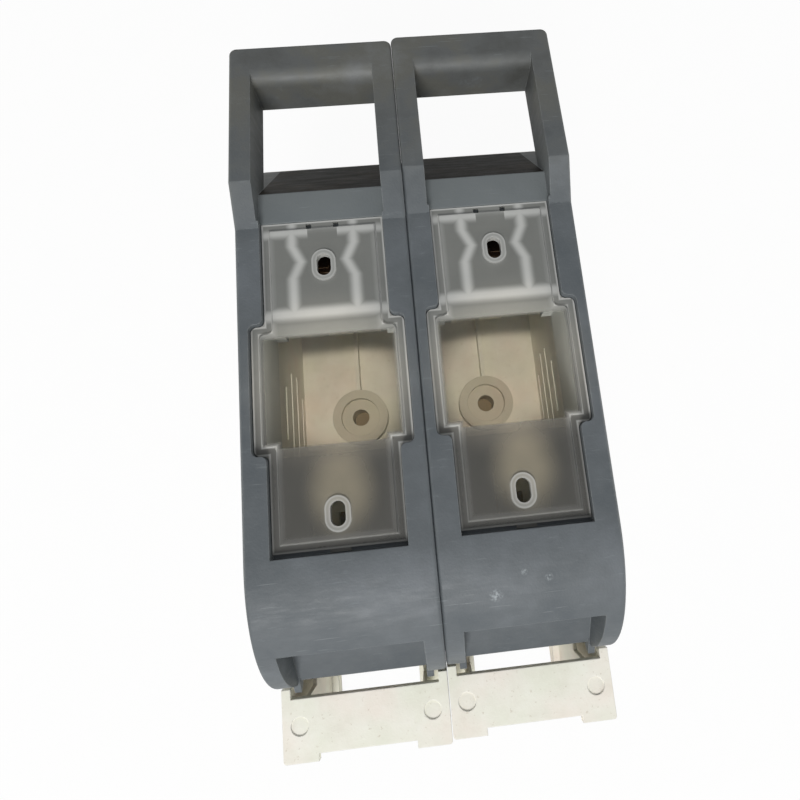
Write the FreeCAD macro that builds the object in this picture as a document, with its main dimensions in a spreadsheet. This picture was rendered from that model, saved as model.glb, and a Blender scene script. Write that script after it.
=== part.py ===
import FreeCAD, Part
import math
import os
import Sketcher

# Two knife blade fuse bases standing side by side, each a single pole for a size 2 fuse link.
# A unit lies on its mounting face: X is across, Y runs along it towards the handle and Z points
# out of the front. Inside a unit, Y is zero midway between the two fuse contacts.

doc = FreeCAD.newDocument("knife_blade_fuse_base")
sheet = doc.addObject("Spreadsheet::Sheet", "dims")

# Every driving size in millimetres. Distances along the unit are from the contact centre.
SIZES = {
    # how the pair stands
    "pair_gap": 0.1,
    "stagger": 1.6,
    # base moulding
    "base_inset": 0.15,
    "base_wall": 4.3,
    "base_low_end": 170.5,
    "base_high_end": 139.0,
    "base_height": 84.0,
    "floor_thick": 12.0,
    "floor_skin": 4.5,
    "bridge_thick": 4.5,
    "bridge_reach": 28.0,
    "foot_length": 3.4,
    "foot_inner": 23.5,
    "cable_notch_half": 24.0,
    "low_notch": 20.5,
    "high_notch": 14.0,
    "mark_radius": 4.3,
    "mark_offset": 32.0,
    "mark_inset": 16.0,
    "mark_depth": 0.6,
    "back_rib": 3.0,
    "back_cell_half": 31.0,
    "back_rows": 9.0,
    "corner_round": 1.5,
    # centre fixing boss and its spine on the floor
    "boss_radius": 17.5,
    "boss_height": 8.0,
    "boss_recess_radius": 12.0,
    "boss_recess_depth": 4.0,
    "boss_hole_radius": 5.25,
    "spine_width": 2.4,
    # side vents: four slits cut as chords of a circle
    "vent_radius": 27.0,
    "vent_pitch": 15.0,
    "vent_slit": 3.0,
    "vent_centre": 42.5,
    # end fixing holes
    "end_hole_radius": 3.25,
    "end_hole_offset": 18.0,
    "low_hole": 133.0,
    "high_hole": 117.5,
    # hinge
    "pivot_along": 124.0,
    "pivot_rise": 8.0,
    "pin_radius": 3.0,
    "pin_play": 0.05,
    "pin_bite": 2.0,
    "tongue_thick": 2.4,
    "tongue_bite": 0.7,
    "tongue_round": 5.5,
    "tongue_heel": 9.5,
    "tongue_reach": 15.5,
    "wall_relief": 7.0,
    "relief_start": 2.0,
    "relief_length": 27.5,
    "ear_gap": 1.6,
    "ear_thick": 2.0,
    "ear_height": 58.0,
    "ear_length": 22.0,
    "side_play": 0.3,
    # contacts and terminals
    "probe_along": 57.0,
    "contact_along": 68.5,
    "seat_half": 17.0,
    "seat_height": 8.0,
    "seat_start": 57.0,
    "seat_end": 123.0,
    "bar_half": 15.0,
    "bar_thick": 6.0,
    "bar_start": 57.5,
    "bar_end": 122.0,
    "terminal_along": 110.0,
    "stud_radius": 5.0,
    "stud_free": 14.0,
    "stud_play": 0.25,
    "hex_flats": 17.0,
    "hex_head": 6.0,
    "nut_height": 8.0,
    "washer_radius": 10.5,
    "washer_thick": 2.0,
    "lock_radius": 9.0,
    "lock_thick": 2.4,
    "blade_thick": 6.0,
    "jaw_half_length": 10.5,
    "jaw_sheet": 2.5,
    "jaw_pinch": 0.3,
    "jaw_grip_rise": 22.0,
    "jaw_rise": 36.0,
    "jaw_flare": 5.0,
    "jaw_root": 6.0,
    "clip_sheet": 1.2,
    "clip_half_length": 7.5,
    "screw_radius": 2.5,
    "screw_head_radius": 4.2,
    "screw_head": 4.0,
    "screw_bite": 12.0,
    "screw_socket": 4.0,
    "screw_spread": 5.0,
    # arc chutes
    "chute_start": 80.5,
    "chute_end": 98.0,
    "chute_half": 28.0,
    "chute_side": 2.5,
    "chute_low": 32.0,
    "chute_top_gap": 5.0,
    "plate_thick": 1.2,
    "plate_count": 6.0,
    "plate_notch": 7.0,
    "post_width": 3.5,
    # cover
    "cover_half": 40.45,
    "skin": 3.0,
    "cover_gap": 0.5,
    "cover_height": 54.0,
    "rail_rise": 3.7,
    "nose_end": 135.9,
    "nose_radius": 61.0,
    "cheek_round": 4.0,
    "tail_inset": 3.5,
    "tail_width": 7.5,
    "tail_depth": 1.8,
    "tail_bite": 1.5,
    "tail_gap": 0.6,
    "pin_boss": 6.0,
    "ramp_start": 77.0,
    "ramp_end": 97.0,
    "grip_rise": 12.5,
    "handle_end": 174.0,
    "tip_rise": 6.0,
    "grip_depth": 25.0,
    "arm_inner": 30.0,
    "body_end": 96.0,
    "slope_end": 138.5,
    "bar_width": 20.0,
    "handle_wall": 3.2,
    "grip_web": 2.2,
    "grip_round": 6.0,
    "edge_round": 1.6,
    "tip_round": 3.5,
    # finger recess in the nose
    "recess_wall": 2.4,
    "recess_top": 111.8,
    "recess_back": 119.5,
    "recess_back_rise": 12.5,
    "recess_lip": 1.8,
    # fuse well and window
    "well_half": 31.0,
    "well_reach": 31.0,
    "well_half_end": 25.5,
    "well_reach_side": 26.5,
    "well_wall": 2.2,
    "well_depth": 35.0,
    "well_end_depth": 25.0,
    "seat_plate": 3.0,
    "high_probe_half": 11.0,
    "high_probe_start": 45.0,
    "high_probe_end": 70.0,
    "low_probe_half": 12.5,
    "low_probe_start": 36.0,
    "low_probe_end": 66.0,
    "window_half": 28.8,
    "window_top": 80.0,
    "window_low": 71.5,
    "window_low_gap": 1.5,
    "bulge_half": 35.2,
    "bulge_reach": 29.5,
    "window_play": 0.3,
    "window_flange": 2.0,
    "window_sheet": 1.6,
    "panel_inset": 3.5,
    "panel_rise": 1.4,
    "window_corner": 2.8,
    "slot_width": 6.6,
    "slot_length": 10.8,
    "collar_width": 2.3,
    "collar_rise": 0.8,
    "tab_half": 4.5,
    "clip_half": 5.2,
    "clip_notch": 2.6,
    "head_rib_start": 8.0,
    "head_rib_width": 2.0,
    "rib_width": 4.4,
    "rib_height": 1.2,
    "cross_rib_start": 31.5,
    "cross_rib_width": 5.0,
    "vase_half": 14.5,
    "vase_waist": 10.6,
    "vase_bend": 8.0,
    # fuse grips under the cover
    "grip_plate_half": 20.0,
    "grip_hook_half": 12.0,
    "grip_hook_gap": 4.0,
    "grip_plate_sheet": 1.5,
    "grip_plate_start": 34.5,
    "grip_plate_end": 43.5,
    "grip_hook_drop": 11.0,
    "grip_hook_length": 4.0,
    "grip_screw_radius": 1.6,
    "grip_screw_head": 2.8,
    "grip_screw_offset": 16.5,
}

for row, (alias, number) in enumerate(SIZES.items(), 1):
    sheet.set(f"A{row}", alias)
    sheet.set(f"B{row}", str(number))
    sheet.setAlias(f"B{row}", alias)
doc.recompute()


class Size:
    """A length that knows its number and the sheet expression it comes from."""

    def __init__(self, value, text):
        self.value = value
        self.text = text

    def __add__(self, other):
        other = as_size(other)
        return Size(self.value + other.value, f"({self.text} + {other.text})")

    def __sub__(self, other):
        other = as_size(other)
        return Size(self.value - other.value, f"({self.text} - {other.text})")

    def __mul__(self, other):
        other = as_size(other)
        return Size(self.value * other.value, f"({self.text} * {other.text})")

    def __truediv__(self, other):
        other = as_size(other)
        return Size(self.value / other.value, f"({self.text} / {other.text})")

    def __neg__(self):
        return Size(-self.value, f"(0 - {self.text})")

    def __radd__(self, other):
        return as_size(other) + self

    def __rsub__(self, other):
        return as_size(other) - self

    __rmul__ = __mul__


def as_size(number):
    """Turn a plain number into a Size, and leave a Size as it is."""
    return number if isinstance(number, Size) else Size(float(number), repr(float(number)))


def root(size):
    """The square root of a Size."""
    return Size(math.sqrt(size.value), f"sqrt({size.text})")


class Sizes:
    """The sheet's values as Size objects, read by name."""


d = Sizes()
for alias in SIZES:
    setattr(d, alias, Size(float(sheet.get(alias)), f"dims.{alias}"))


# Drawing helpers. A loop is a list of corners; a corner with four entries starts an arc of that
# radius whose centre lies to the left (+1) or right (-1) of the way to the next corner.

def origin_plane(body, role):
    for feature in body.Origin.OriginFeatures:
        if feature.Role == role:
            return feature
    raise ValueError(role)


def pin_point(sketch, curve, position, x, y):
    """Hold one point of a curve at x, y, bound to the sheet."""
    for kind, size in (("DistanceX", as_size(x)), ("DistanceY", as_size(y))):
        index = sketch.addConstraint(Sketcher.Constraint(kind, -1, 1, curve, position, size.value))
        sketch.setExpression(f"Constraints[{index}]", size.text)


def set_radius(sketch, curve, radius):
    radius = as_size(radius)
    index = sketch.addConstraint(Sketcher.Constraint("Radius", curve, radius.value))
    sketch.setExpression(f"Constraints[{index}]", radius.text)


def flat(x, y):
    return FreeCAD.Vector(as_size(x).value, as_size(y).value, 0)


def arc_between(start, end, radius, side):
    """The short arc from start to end, and whether it is drawn backwards."""
    chord = end - start
    half = chord.Length / 2
    rise = math.sqrt(max(radius * radius - half * half, 0.0))
    normal = FreeCAD.Vector(-chord.y, chord.x, 0).normalize()
    centre = (start + end) * 0.5 + normal * (rise * side)
    angles = [math.atan2(p.y - centre.y, p.x - centre.x) for p in (start, end)]
    circle = Part.Circle(centre, FreeCAD.Vector(0, 0, 1), radius)
    if side > 0:
        return Part.ArcOfCircle(circle, angles[0], angles[1])
    return Part.ArcOfCircle(circle, angles[1], angles[0])


def draw_loop(sketch, corners):
    first = sketch.GeometryCount
    count = len(corners)
    ends = []
    for index, corner in enumerate(corners):
        following = corners[(index + 1) % count]
        start = flat(corner[0], corner[1])
        end = flat(following[0], following[1])
        if len(corner) == 4:
            radius = as_size(corner[2])
            sketch.addGeometry(arc_between(start, end, radius.value, corner[3]), False)
            set_radius(sketch, first + index, radius)
            ends.append((1, 2) if corner[3] > 0 else (2, 1))
        else:
            sketch.addGeometry(Part.LineSegment(start, end), False)
            ends.append((1, 2))
    for index, corner in enumerate(corners):
        before = (index - 1) % count
        join = Sketcher.Constraint("Coincident", first + before, ends[before][1],
                                   first + index, ends[index][0])
        sketch.addConstraint(join)
        pin_point(sketch, first + index, ends[index][0], corner[0], corner[1])


def draw_circle(sketch, x, y, radius):
    index = sketch.GeometryCount
    circle = Part.Circle(flat(x, y), FreeCAD.Vector(0, 0, 1), as_size(radius).value)
    sketch.addGeometry(circle, False)
    pin_point(sketch, index, 3, x, y)
    set_radius(sketch, index, radius)


def draw_slot(sketch, x, y, width, length):
    """A round-ended slot that runs along the sketch's second axis."""
    first = sketch.GeometryCount
    half = as_size(width) / 2
    reach = as_size(length) / 2 - half
    corners = [(x + half, y - reach), (x + half, y + reach), (x - half, y + reach), (x - half, y - reach)]
    points = [flat(*corner) for corner in corners]
    sketch.addGeometry(Part.LineSegment(points[0], points[1]), False)
    sketch.addGeometry(arc_about(flat(x, y + reach), half.value, 0), False)
    sketch.addGeometry(Part.LineSegment(points[2], points[3]), False)
    sketch.addGeometry(arc_about(flat(x, y - reach), half.value, math.pi), False)
    for index in range(4):
        following = (index + 1) % 4
        join = Sketcher.Constraint("Coincident", first + index, 2, first + following, 1)
        sketch.addConstraint(join)
    for index, corner in ((0, corners[0]), (2, corners[2])):
        pin_point(sketch, first + index, 1, *corner)
    for index, corner in ((0, corners[1]), (2, corners[3])):
        pin_point(sketch, first + index, 2, *corner)
    for index, middle in ((1, y + reach), (3, y - reach)):
        middle = as_size(middle)
        held = sketch.addConstraint(
            Sketcher.Constraint("DistanceY", -1, 1, first + index, 3, middle.value))
        sketch.setExpression(f"Constraints[{held}]", middle.text)


def arc_about(centre, radius, start):
    circle = Part.Circle(centre, FreeCAD.Vector(0, 0, 1), radius)
    return Part.ArcOfCircle(circle, start, start + math.pi)


def box_loop(x_low, x_high, y_low, y_high):
    return [(x_low, y_low), (x_high, y_low), (x_high, y_high), (x_low, y_high)]


def hexagon(x, y, flats):
    """A hexagon with two flats across the sketch's first axis."""
    half = as_size(flats) / 2
    corner = half * (2 / math.sqrt(3))
    return [(x - half, y - corner / 2), (x, y - corner), (x + half, y - corner / 2),
            (x + half, y + corner / 2), (x, y + corner), (x - half, y + corner / 2)]


def circle(x, y, radius):
    return ("circle", x, y, radius)


def slot(x, y, width, length):
    return ("slot", x, y, width, length)


def new_sketch(body, name, role, offset, loops):
    sketch = body.newObject("Sketcher::SketchObject", name)
    sketch.AttachmentSupport = [(origin_plane(body, role), "")]
    sketch.MapMode = "FlatFace"
    sketch.setExpression("AttachmentOffset.Base.z", as_size(offset).text)
    for loop in loops:
        if loop[0] == "circle":
            draw_circle(sketch, *loop[1:])
        elif loop[0] == "slot":
            draw_slot(sketch, *loop[1:])
        else:
            draw_loop(sketch, loop)
    return sketch


def prism(body, name, role, low, high, loops, cut=False):
    """Pad or pocket the loops between two positions along the plane's own axis."""
    low = as_size(low)
    high = as_size(high)
    towards = -1 if role == "XZ_Plane" else 1
    start = high if (towards < 0) != cut else low
    sketch = new_sketch(body, f"{name}_sketch", role, start * towards, loops)
    feature = body.newObject("PartDesign::Pocket" if cut else "PartDesign::Pad", name)
    feature.Profile = sketch
    feature.setExpression("Length", (high - low).text)
    return feature


def add(body, name, role, low, high, *loops):
    return prism(body, name, role, low, high, loops)


def cut(body, name, role, low, high, *loops):
    return prism(body, name, role, low, high, loops, cut=True)


def near(first, second, slack=0.02):
    return abs(first - as_size(second).value) < slack


def spans(edge):
    """The edge's box as six numbers."""
    box = edge.BoundBox
    return box.XMin, box.XMax, box.YMin, box.YMax, box.ZMin, box.ZMax


def dress(body, name, kind, size, wanted):
    """Round or chamfer the edges of the body's tip that the test wants."""
    doc.recompute()
    tip = body.Tip
    names = [f"Edge{index}" for index, edge in enumerate(tip.Shape.Edges, 1) if wanted(*spans(edge))]
    if not names:
        raise ValueError(f"{name} finds no edge")
    feature = body.newObject(f"PartDesign::{kind}", name)
    feature.Base = (tip, names)
    feature.setExpression("Radius" if kind == "Fillet" else "Size", as_size(size).text)
    return feature


units_shift = -(d.handle_end - d.base_low_end + d.stagger) / 2
pieces = {}


def new_body(label):
    body = doc.addObject("PartDesign::Body", f"left_{label}")
    body.Label = f"left_{label}"
    pieces[label] = body
    return body


def mirrored(loop):
    """The same loop on the other side of the unit's centre line."""
    if loop[0] in ("circle", "slot"):
        return (loop[0], -as_size(loop[1])) + tuple(loop[2:])
    turned = [tuple([-as_size(corner[0])] + list(corner[1:])) for corner in loop]
    return turned


def both_sides(loop):
    return [loop, mirrored(loop)]


# Positions that several pieces share.

base_half = d.cover_half - d.base_inset
base_inner = base_half - d.base_wall
floor_top = d.floor_thick
bridge_low = d.base_height - d.bridge_thick
bridge_edge = -(d.base_low_end - d.bridge_reach)
seat_top = floor_top + d.seat_height
bar_top = seat_top + d.bar_thick
cover_low = d.base_height + d.cover_gap
front_top = d.base_height + d.cover_height
rail_top = front_top + d.rail_rise
recess_floor = front_top - d.window_flange
ceiling = recess_floor - d.seat_plate
cover_inner = d.cover_half - d.skin
tongue_high = base_inner + d.tongue_bite
tongue_low = tongue_high - d.tongue_thick
cheek_inner = tongue_low - d.side_play
recess_half = cheek_inner - d.recess_wall
ear_outer = recess_half - d.ear_gap
ear_inner = ear_outer - d.ear_thick
pivot_y = -d.pivot_along
pivot_height = d.base_height + d.pivot_rise
chute_high = d.base_height - d.chute_top_gap
relief_edge = -d.nose_end - d.relief_start


def base_housing():
    """Cream thermoset tray with open cable bays, a bridge over each end and vented walls."""
    body = new_body("base_housing")
    low_end = -d.base_low_end
    high_end = d.base_high_end
    add(body, "block", "XY_Plane", 0, d.base_height,
        box_loop(-base_half, base_half, low_end, high_end))
    cut(body, "tray", "XY_Plane", floor_top, d.base_height,
        box_loop(-base_inner, base_inner, bridge_edge, high_end - d.high_notch))
    cut(body, "low_cable_bay", "XZ_Plane", low_end, bridge_edge,
        box_loop(-base_inner, base_inner, floor_top, bridge_low))
    cut(body, "high_cable_bay", "XZ_Plane", high_end - d.high_notch, high_end,
        box_loop(-base_inner, base_inner, floor_top, bridge_low))
    cut(body, "cable_notches", "XY_Plane", 0, floor_top,
        box_loop(-d.cable_notch_half, d.cable_notch_half, low_end, low_end + d.low_notch),
        box_loop(-d.cable_notch_half, d.cable_notch_half, high_end - d.high_notch, high_end))
    cut(body, "foot_notch", "XY_Plane", bridge_low, d.base_height,
        box_loop(-d.foot_inner, d.foot_inner, low_end, low_end + d.foot_length))
    cut(body, "marks", "XY_Plane", d.base_height - d.mark_depth, d.base_height,
        *both_sides(circle(d.mark_offset, low_end + d.mark_inset, d.mark_radius)))

    # boss, spine and contact seats stand on the floor
    add(body, "boss", "XY_Plane", floor_top, floor_top + d.boss_height,
        circle(0, 0, d.boss_radius))
    half_spine = d.spine_width / 2
    add(body, "spine", "XY_Plane", floor_top, floor_top + d.boss_height,
        box_loop(-half_spine, half_spine, d.boss_radius - 1, d.seat_start + 1))
    seats = [box_loop(-d.seat_half, d.seat_half, d.seat_start, d.seat_end),
             box_loop(-d.seat_half, d.seat_half, -d.seat_end, -d.seat_start)]
    add(body, "contact_seats", "XY_Plane", floor_top, seat_top, *seats)
    boss_floor = floor_top + d.boss_height - d.boss_recess_depth
    cut(body, "boss_recess", "XY_Plane", boss_floor, floor_top + d.boss_height,
        circle(0, 0, d.boss_recess_radius))
    cut(body, "boss_hole", "XY_Plane", 0, boss_floor, circle(0, 0, d.boss_hole_radius))
    holes = both_sides(circle(d.end_hole_offset + d.end_hole_radius, -d.low_hole, d.end_hole_radius))
    holes += both_sides(circle(d.end_hole_offset + d.end_hole_radius, d.high_hole, d.end_hole_radius))
    cut(body, "end_holes", "XY_Plane", 0, floor_top, *holes)

    # posts on the side walls that hold the arc chutes, stepped to a shelf under them
    posts = []
    shelves = []
    chute_out = d.chute_half + d.chute_side + d.side_play
    for sign in (1, -1):
        for along in (d.chute_start, d.chute_end - d.post_width):
            edges = (along * sign, (along + d.post_width) * sign)
            low, high = edges if sign > 0 else edges[::-1]
            posts += both_sides(box_loop(chute_out, base_inner + 1, low, high))
            shelves += both_sides(box_loop(d.chute_half, base_inner + 1, low, high))
    add(body, "chute_posts", "XY_Plane", floor_top - 1, chute_high, *posts)
    add(body, "chute_shelves", "XY_Plane", floor_top - 1, d.chute_low, *shelves)

    # hinge ears, the tongues that carry the pins, and room for the cover's cheeks to swing
    ear_high = bridge_edge + d.ear_length
    add(body, "ears", "XY_Plane", floor_top - 1, d.ear_height,
        *both_sides(box_loop(ear_inner, ear_outer, bridge_edge - 1, ear_high)))
    add(body, "ear_heels", "XY_Plane", floor_top - 1, bridge_low + 1,
        *both_sides(box_loop(ear_inner, ear_outer, low_end + d.foot_length, bridge_edge - 1)))
    relief_low = d.base_height - d.wall_relief
    relief = box_loop(base_inner, base_half + 1, relief_edge, relief_edge + d.relief_length)
    cut(body, "cheek_relief", "XY_Plane", relief_low, d.base_height, *both_sides(relief))
    heel_low = pivot_y + d.tongue_reach
    heel_high = heel_low + d.tongue_heel
    for side in (1, -1):
        tongue = [(pivot_y, pivot_height + d.tongue_round, d.tongue_round, 1),
                  (pivot_y - d.tongue_round, pivot_height, d.tongue_round, 1),
                  (pivot_y, pivot_height - d.tongue_round),
                  (heel_low, pivot_height - d.tongue_round),
                  (heel_low, seat_top), (heel_high, seat_top),
                  (heel_high, pivot_height + d.tongue_round)]
        low, high = (tongue_low, tongue_high) if side > 0 else (-tongue_high, -tongue_low)
        name = "right" if side > 0 else "left"
        add(body, f"tongue_{name}", "YZ_Plane", low, high, tongue)
        cut(body, f"pin_hole_{name}", "YZ_Plane", low, high,
            circle(pivot_y, pivot_height, d.pin_radius))

    # vent slits through both walls
    for side in (1, -1):
        slits = []
        for step in (-1.5, -0.5, 0.5, 1.5):
            rise = d.vent_pitch * step
            reach = root(d.vent_radius * d.vent_radius - rise * rise)
            middle = d.vent_centre + rise
            slits.append(box_loop(-reach, reach, middle - d.vent_slit / 2, middle + d.vent_slit / 2))
        low, high = (base_inner, base_half) if side > 0 else (-base_half, -base_inner)
        cut(body, f"vents_{'right' if side > 0 else 'left'}", "YZ_Plane", low, high, *slits)

    # cells that lighten the back, between ribs
    cells = []
    start = low_end + d.low_notch + d.back_rib
    reach = high_end - d.high_notch - d.back_rib - start
    rows = int(d.back_rows.value)
    pitch = (reach + d.back_rib) / d.back_rows
    for row in range(rows):
        low = start + pitch * row
        high = low + pitch - d.back_rib
        if low.value < d.boss_radius.value and high.value > -d.boss_radius.value:
            inner = d.boss_recess_radius
        else:
            inner = d.back_rib / 2
        if low.value < -d.low_hole.value + 8 or high.value > d.high_hole.value - 8:
            continue
        cells += both_sides(box_loop(inner, d.back_cell_half, low, high))
    cut(body, "back_cells", "XY_Plane", 0, floor_top - d.floor_skin, *cells)

    # captive hexagons for the terminal bolts, and blind holes for the jaw screws
    cut(body, "bolt_pockets", "XY_Plane", seat_top - d.hex_head, seat_top,
        hexagon(0, d.terminal_along, d.hex_flats), hexagon(0, -d.terminal_along, d.hex_flats))
    cut(body, "screw_holes", "XY_Plane", bar_top - d.screw_bite, seat_top,
        *[circle(x, y, d.screw_radius) for x, y in jaw_screw_places()])

    outer = base_half.value
    dress(body, "outer_corners", "Fillet", d.corner_round,
          lambda x0, x1, y0, y1, z0, z1: near(abs(x0), outer) and near(x0, x1) and near(y0, y1)
          and (near(y0, low_end) or near(y0, high_end)))
    return body


def jaw_screw_places():
    """Two screws to a jaw, one behind the other through its web, at both contacts."""
    return [(0, d.contact_along * end + d.screw_spread * side) for end in (1, -1) for side in (1, -1)]


def span_along(end, low, high):
    """A stretch along the unit, turned round for the low end."""
    return (low, high) if end > 0 else (-as_size(high), -as_size(low))


def terminal_bar(name, end):
    """Flat silver plated copper bar from the jaw to the cable terminal."""
    body = new_body(f"{name}_terminal_bar")
    low, high = span_along(end, d.bar_start, d.bar_end)
    add(body, "bar", "XY_Plane", seat_top, bar_top, box_loop(-d.bar_half, d.bar_half, low, high))
    screws = [circle(x, y, d.screw_radius) for x, y in jaw_screw_places() if (y.value > 0) == (end > 0)]
    cut(body, "holes", "XY_Plane", seat_top, bar_top,
        circle(0, d.terminal_along * end, d.stud_radius + d.stud_play), *screws)
    tip = high if end > 0 else low
    dress(body, "bar_corners", "Chamfer", d.jaw_sheet,
          lambda x0, x1, y0, y1, z0, z1: near(x0, x1) and near(y0, y1) and near(y0, tip))
    return body


def contact_jaw(name, end):
    """One lyre of hard copper strip: a web on the bar and two leaves that close on the blade."""
    body = new_body(f"{name}_jaw")
    inner = d.blade_thick / 2 - d.jaw_pinch
    outer = inner + d.jaw_sheet
    low = bar_top
    pinch = low + d.jaw_grip_rise
    top = low + d.jaw_rise
    half = [(outer + d.jaw_root, low), (outer, pinch), (outer + d.jaw_flare, top),
            (inner + d.jaw_flare, top), (inner, pinch), (inner + d.jaw_root, low + d.jaw_sheet)]
    lyre = half + [(-x, y) for x, y in reversed(half)]
    centre = d.contact_along * end
    add(body, "lyre", "XZ_Plane", centre - d.jaw_half_length, centre + d.jaw_half_length, lyre)
    screws = [circle(x, y, d.screw_radius) for x, y in jaw_screw_places() if (y.value > 0) == (end > 0)]
    cut(body, "screw_clearance", "XY_Plane", low, low + d.jaw_sheet, *screws)
    return body


def jaw_clips(name, end):
    """Steel strips behind the leaves that keep them pressed on the blade."""
    body = new_body(f"{name}_jaw_clips")
    inner = d.blade_thick / 2 - d.jaw_pinch + d.jaw_sheet
    centre = d.contact_along * end
    foot = bar_top + d.jaw_sheet
    pinch = bar_top + d.jaw_grip_rise
    foot_x = inner + d.jaw_root - d.jaw_root * (d.jaw_sheet / d.jaw_grip_rise)
    clip = [(foot_x, foot), (inner, pinch), (inner + d.clip_sheet, pinch), (foot_x + d.clip_sheet, foot)]
    add(body, "strips", "XZ_Plane", centre - d.clip_half_length, centre + d.clip_half_length,
        *both_sides(clip))
    return body


def jaw_screws():
    """Four socket screws that clamp the jaws through the bars into the base."""
    body = new_body("jaw_screws")
    top = bar_top + d.jaw_sheet
    places = jaw_screw_places()
    add(body, "shanks", "XY_Plane", bar_top - d.screw_bite, top,
        *[circle(x, y, d.screw_radius) for x, y in places])
    add(body, "heads", "XY_Plane", top, top + d.screw_head,
        *[circle(x, y, d.screw_head_radius) for x, y in places])
    cut(body, "sockets", "XY_Plane", top + d.screw_head / 2, top + d.screw_head,
        *[hexagon(x, y, d.screw_socket) for x, y in places])
    return body


def terminal_fasteners():
    """Captive bolt, flat washer, lock washer and nut at each terminal."""
    places = [(0, d.terminal_along), (0, -d.terminal_along)]
    washer_top = bar_top + d.washer_thick
    lock_top = washer_top + d.lock_thick
    nut_top = lock_top + d.nut_height
    body = new_body("terminal_bolts")
    add(body, "heads", "XY_Plane", seat_top - d.hex_head, seat_top,
        *[hexagon(x, y, d.hex_flats - d.side_play) for x, y in places])
    add(body, "studs", "XY_Plane", seat_top, nut_top + d.stud_free,
        *[circle(x, y, d.stud_radius) for x, y in places])
    dress(body, "stud_tips", "Chamfer", d.jaw_sheet / 3,
          lambda x0, x1, y0, y1, z0, z1: near(z0, nut_top + d.stud_free) and near(z1, z0))
    body = new_body("terminal_washers")
    add(body, "washers", "XY_Plane", bar_top, washer_top,
        *[circle(x, y, d.washer_radius) for x, y in places],
        *[circle(x, y, d.stud_radius + d.stud_play) for x, y in places])
    body = new_body("terminal_lock_washers")
    add(body, "rings", "XY_Plane", washer_top, lock_top,
        *[circle(x, y, d.lock_radius) for x, y in places],
        *[circle(x, y, d.stud_radius + d.stud_play) for x, y in places])
    body = new_body("terminal_nuts")
    add(body, "nuts", "XY_Plane", lock_top, nut_top,
        *[hexagon(x, y, d.hex_flats) for x, y in places],
        *[circle(x, y, d.stud_radius) for x, y in places])


def arc_chute(name, end):
    """A stack of notched steel splitter plates between two fibre sides."""
    plates = new_body(f"{name}_splitter_plates")
    low, high = span_along(end, d.chute_start, d.chute_end)
    mouth, back = (low, high) if end > 0 else (high, low)
    depth = (back - mouth) * 0.6
    loop = [(-d.chute_half, mouth), (-d.plate_notch, mouth), (-d.plate_notch / 4, mouth + depth),
            (d.plate_notch / 4, mouth + depth), (d.plate_notch, mouth), (d.chute_half, mouth),
            (d.chute_half, back), (-d.chute_half, back)]
    pitch = (chute_high - d.chute_low) / d.plate_count
    for index in range(int(d.plate_count.value)):
        height = d.chute_low + pitch * (index + 0.5)
        add(plates, f"plate_{index}", "XY_Plane", height, height + d.plate_thick, loop)
    sides = new_body(f"{name}_chute_sides")
    add(sides, "sides", "XY_Plane", d.chute_low, chute_high,
        *both_sides(box_loop(d.chute_half, d.chute_half + d.chute_side, low, high)))


def hinge_pins():
    """Two short steel pins pressed through the tongues of the base."""
    body = new_body("hinge_pins")
    reach = d.pin_bite - d.side_play / 2
    for side in (1, -1):
        low = cheek_inner - reach
        high = cover_inner + reach
        if side < 0:
            low, high = -high, -low
        add(body, f"pin_{'right' if side > 0 else 'left'}", "YZ_Plane", low, high,
            circle(pivot_y, pivot_height, d.pin_radius))
    return body


def nose_centre():
    """Centre of the nose's arc, which runs smoothly into the rails."""
    centre_z = rail_top - d.nose_radius
    drop = cover_low - centre_z
    return -d.nose_end + root(d.nose_radius * d.nose_radius - drop * drop), centre_z


def cross_loop(half, reach_side, half_end, reach):
    """A rectangle with a shallower bulge to each side, as a twelve cornered loop."""
    return [(half_end, -reach), (half_end, -reach_side), (half, -reach_side),
            (half, reach_side), (half_end, reach_side), (half_end, reach),
            (-half_end, reach), (-half_end, reach_side), (-half, reach_side),
            (-half, -reach_side), (-half_end, -reach_side), (-half_end, -reach)]


def window_loop(grow, low_extra=0):
    """The window's outline, grown all round by one distance."""
    half = d.window_half + grow
    wide = d.bulge_half + grow
    reach = d.bulge_reach + grow
    top = d.window_top + grow
    low = -(d.window_low + grow + low_extra)
    return [(half, low), (half, -reach), (wide, -reach), (wide, reach), (half, reach), (half, top),
            (-half, top), (-half, reach), (-wide, reach), (-wide, -reach), (-half, -reach), (-half, low)]


def bulge_corner_test(grow):
    """Picks the upright edges at the steps of the window's outline."""
    half = (d.window_half + grow).value
    wide = (d.bulge_half + grow).value
    reach = (d.bulge_reach + grow).value

    def wanted(x0, x1, y0, y1, z0, z1):
        upright = near(x0, x1) and near(y0, y1)
        return upright and near(abs(y0), reach) and (near(abs(x0), half) or near(abs(x0), wide))
    return wanted


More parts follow.
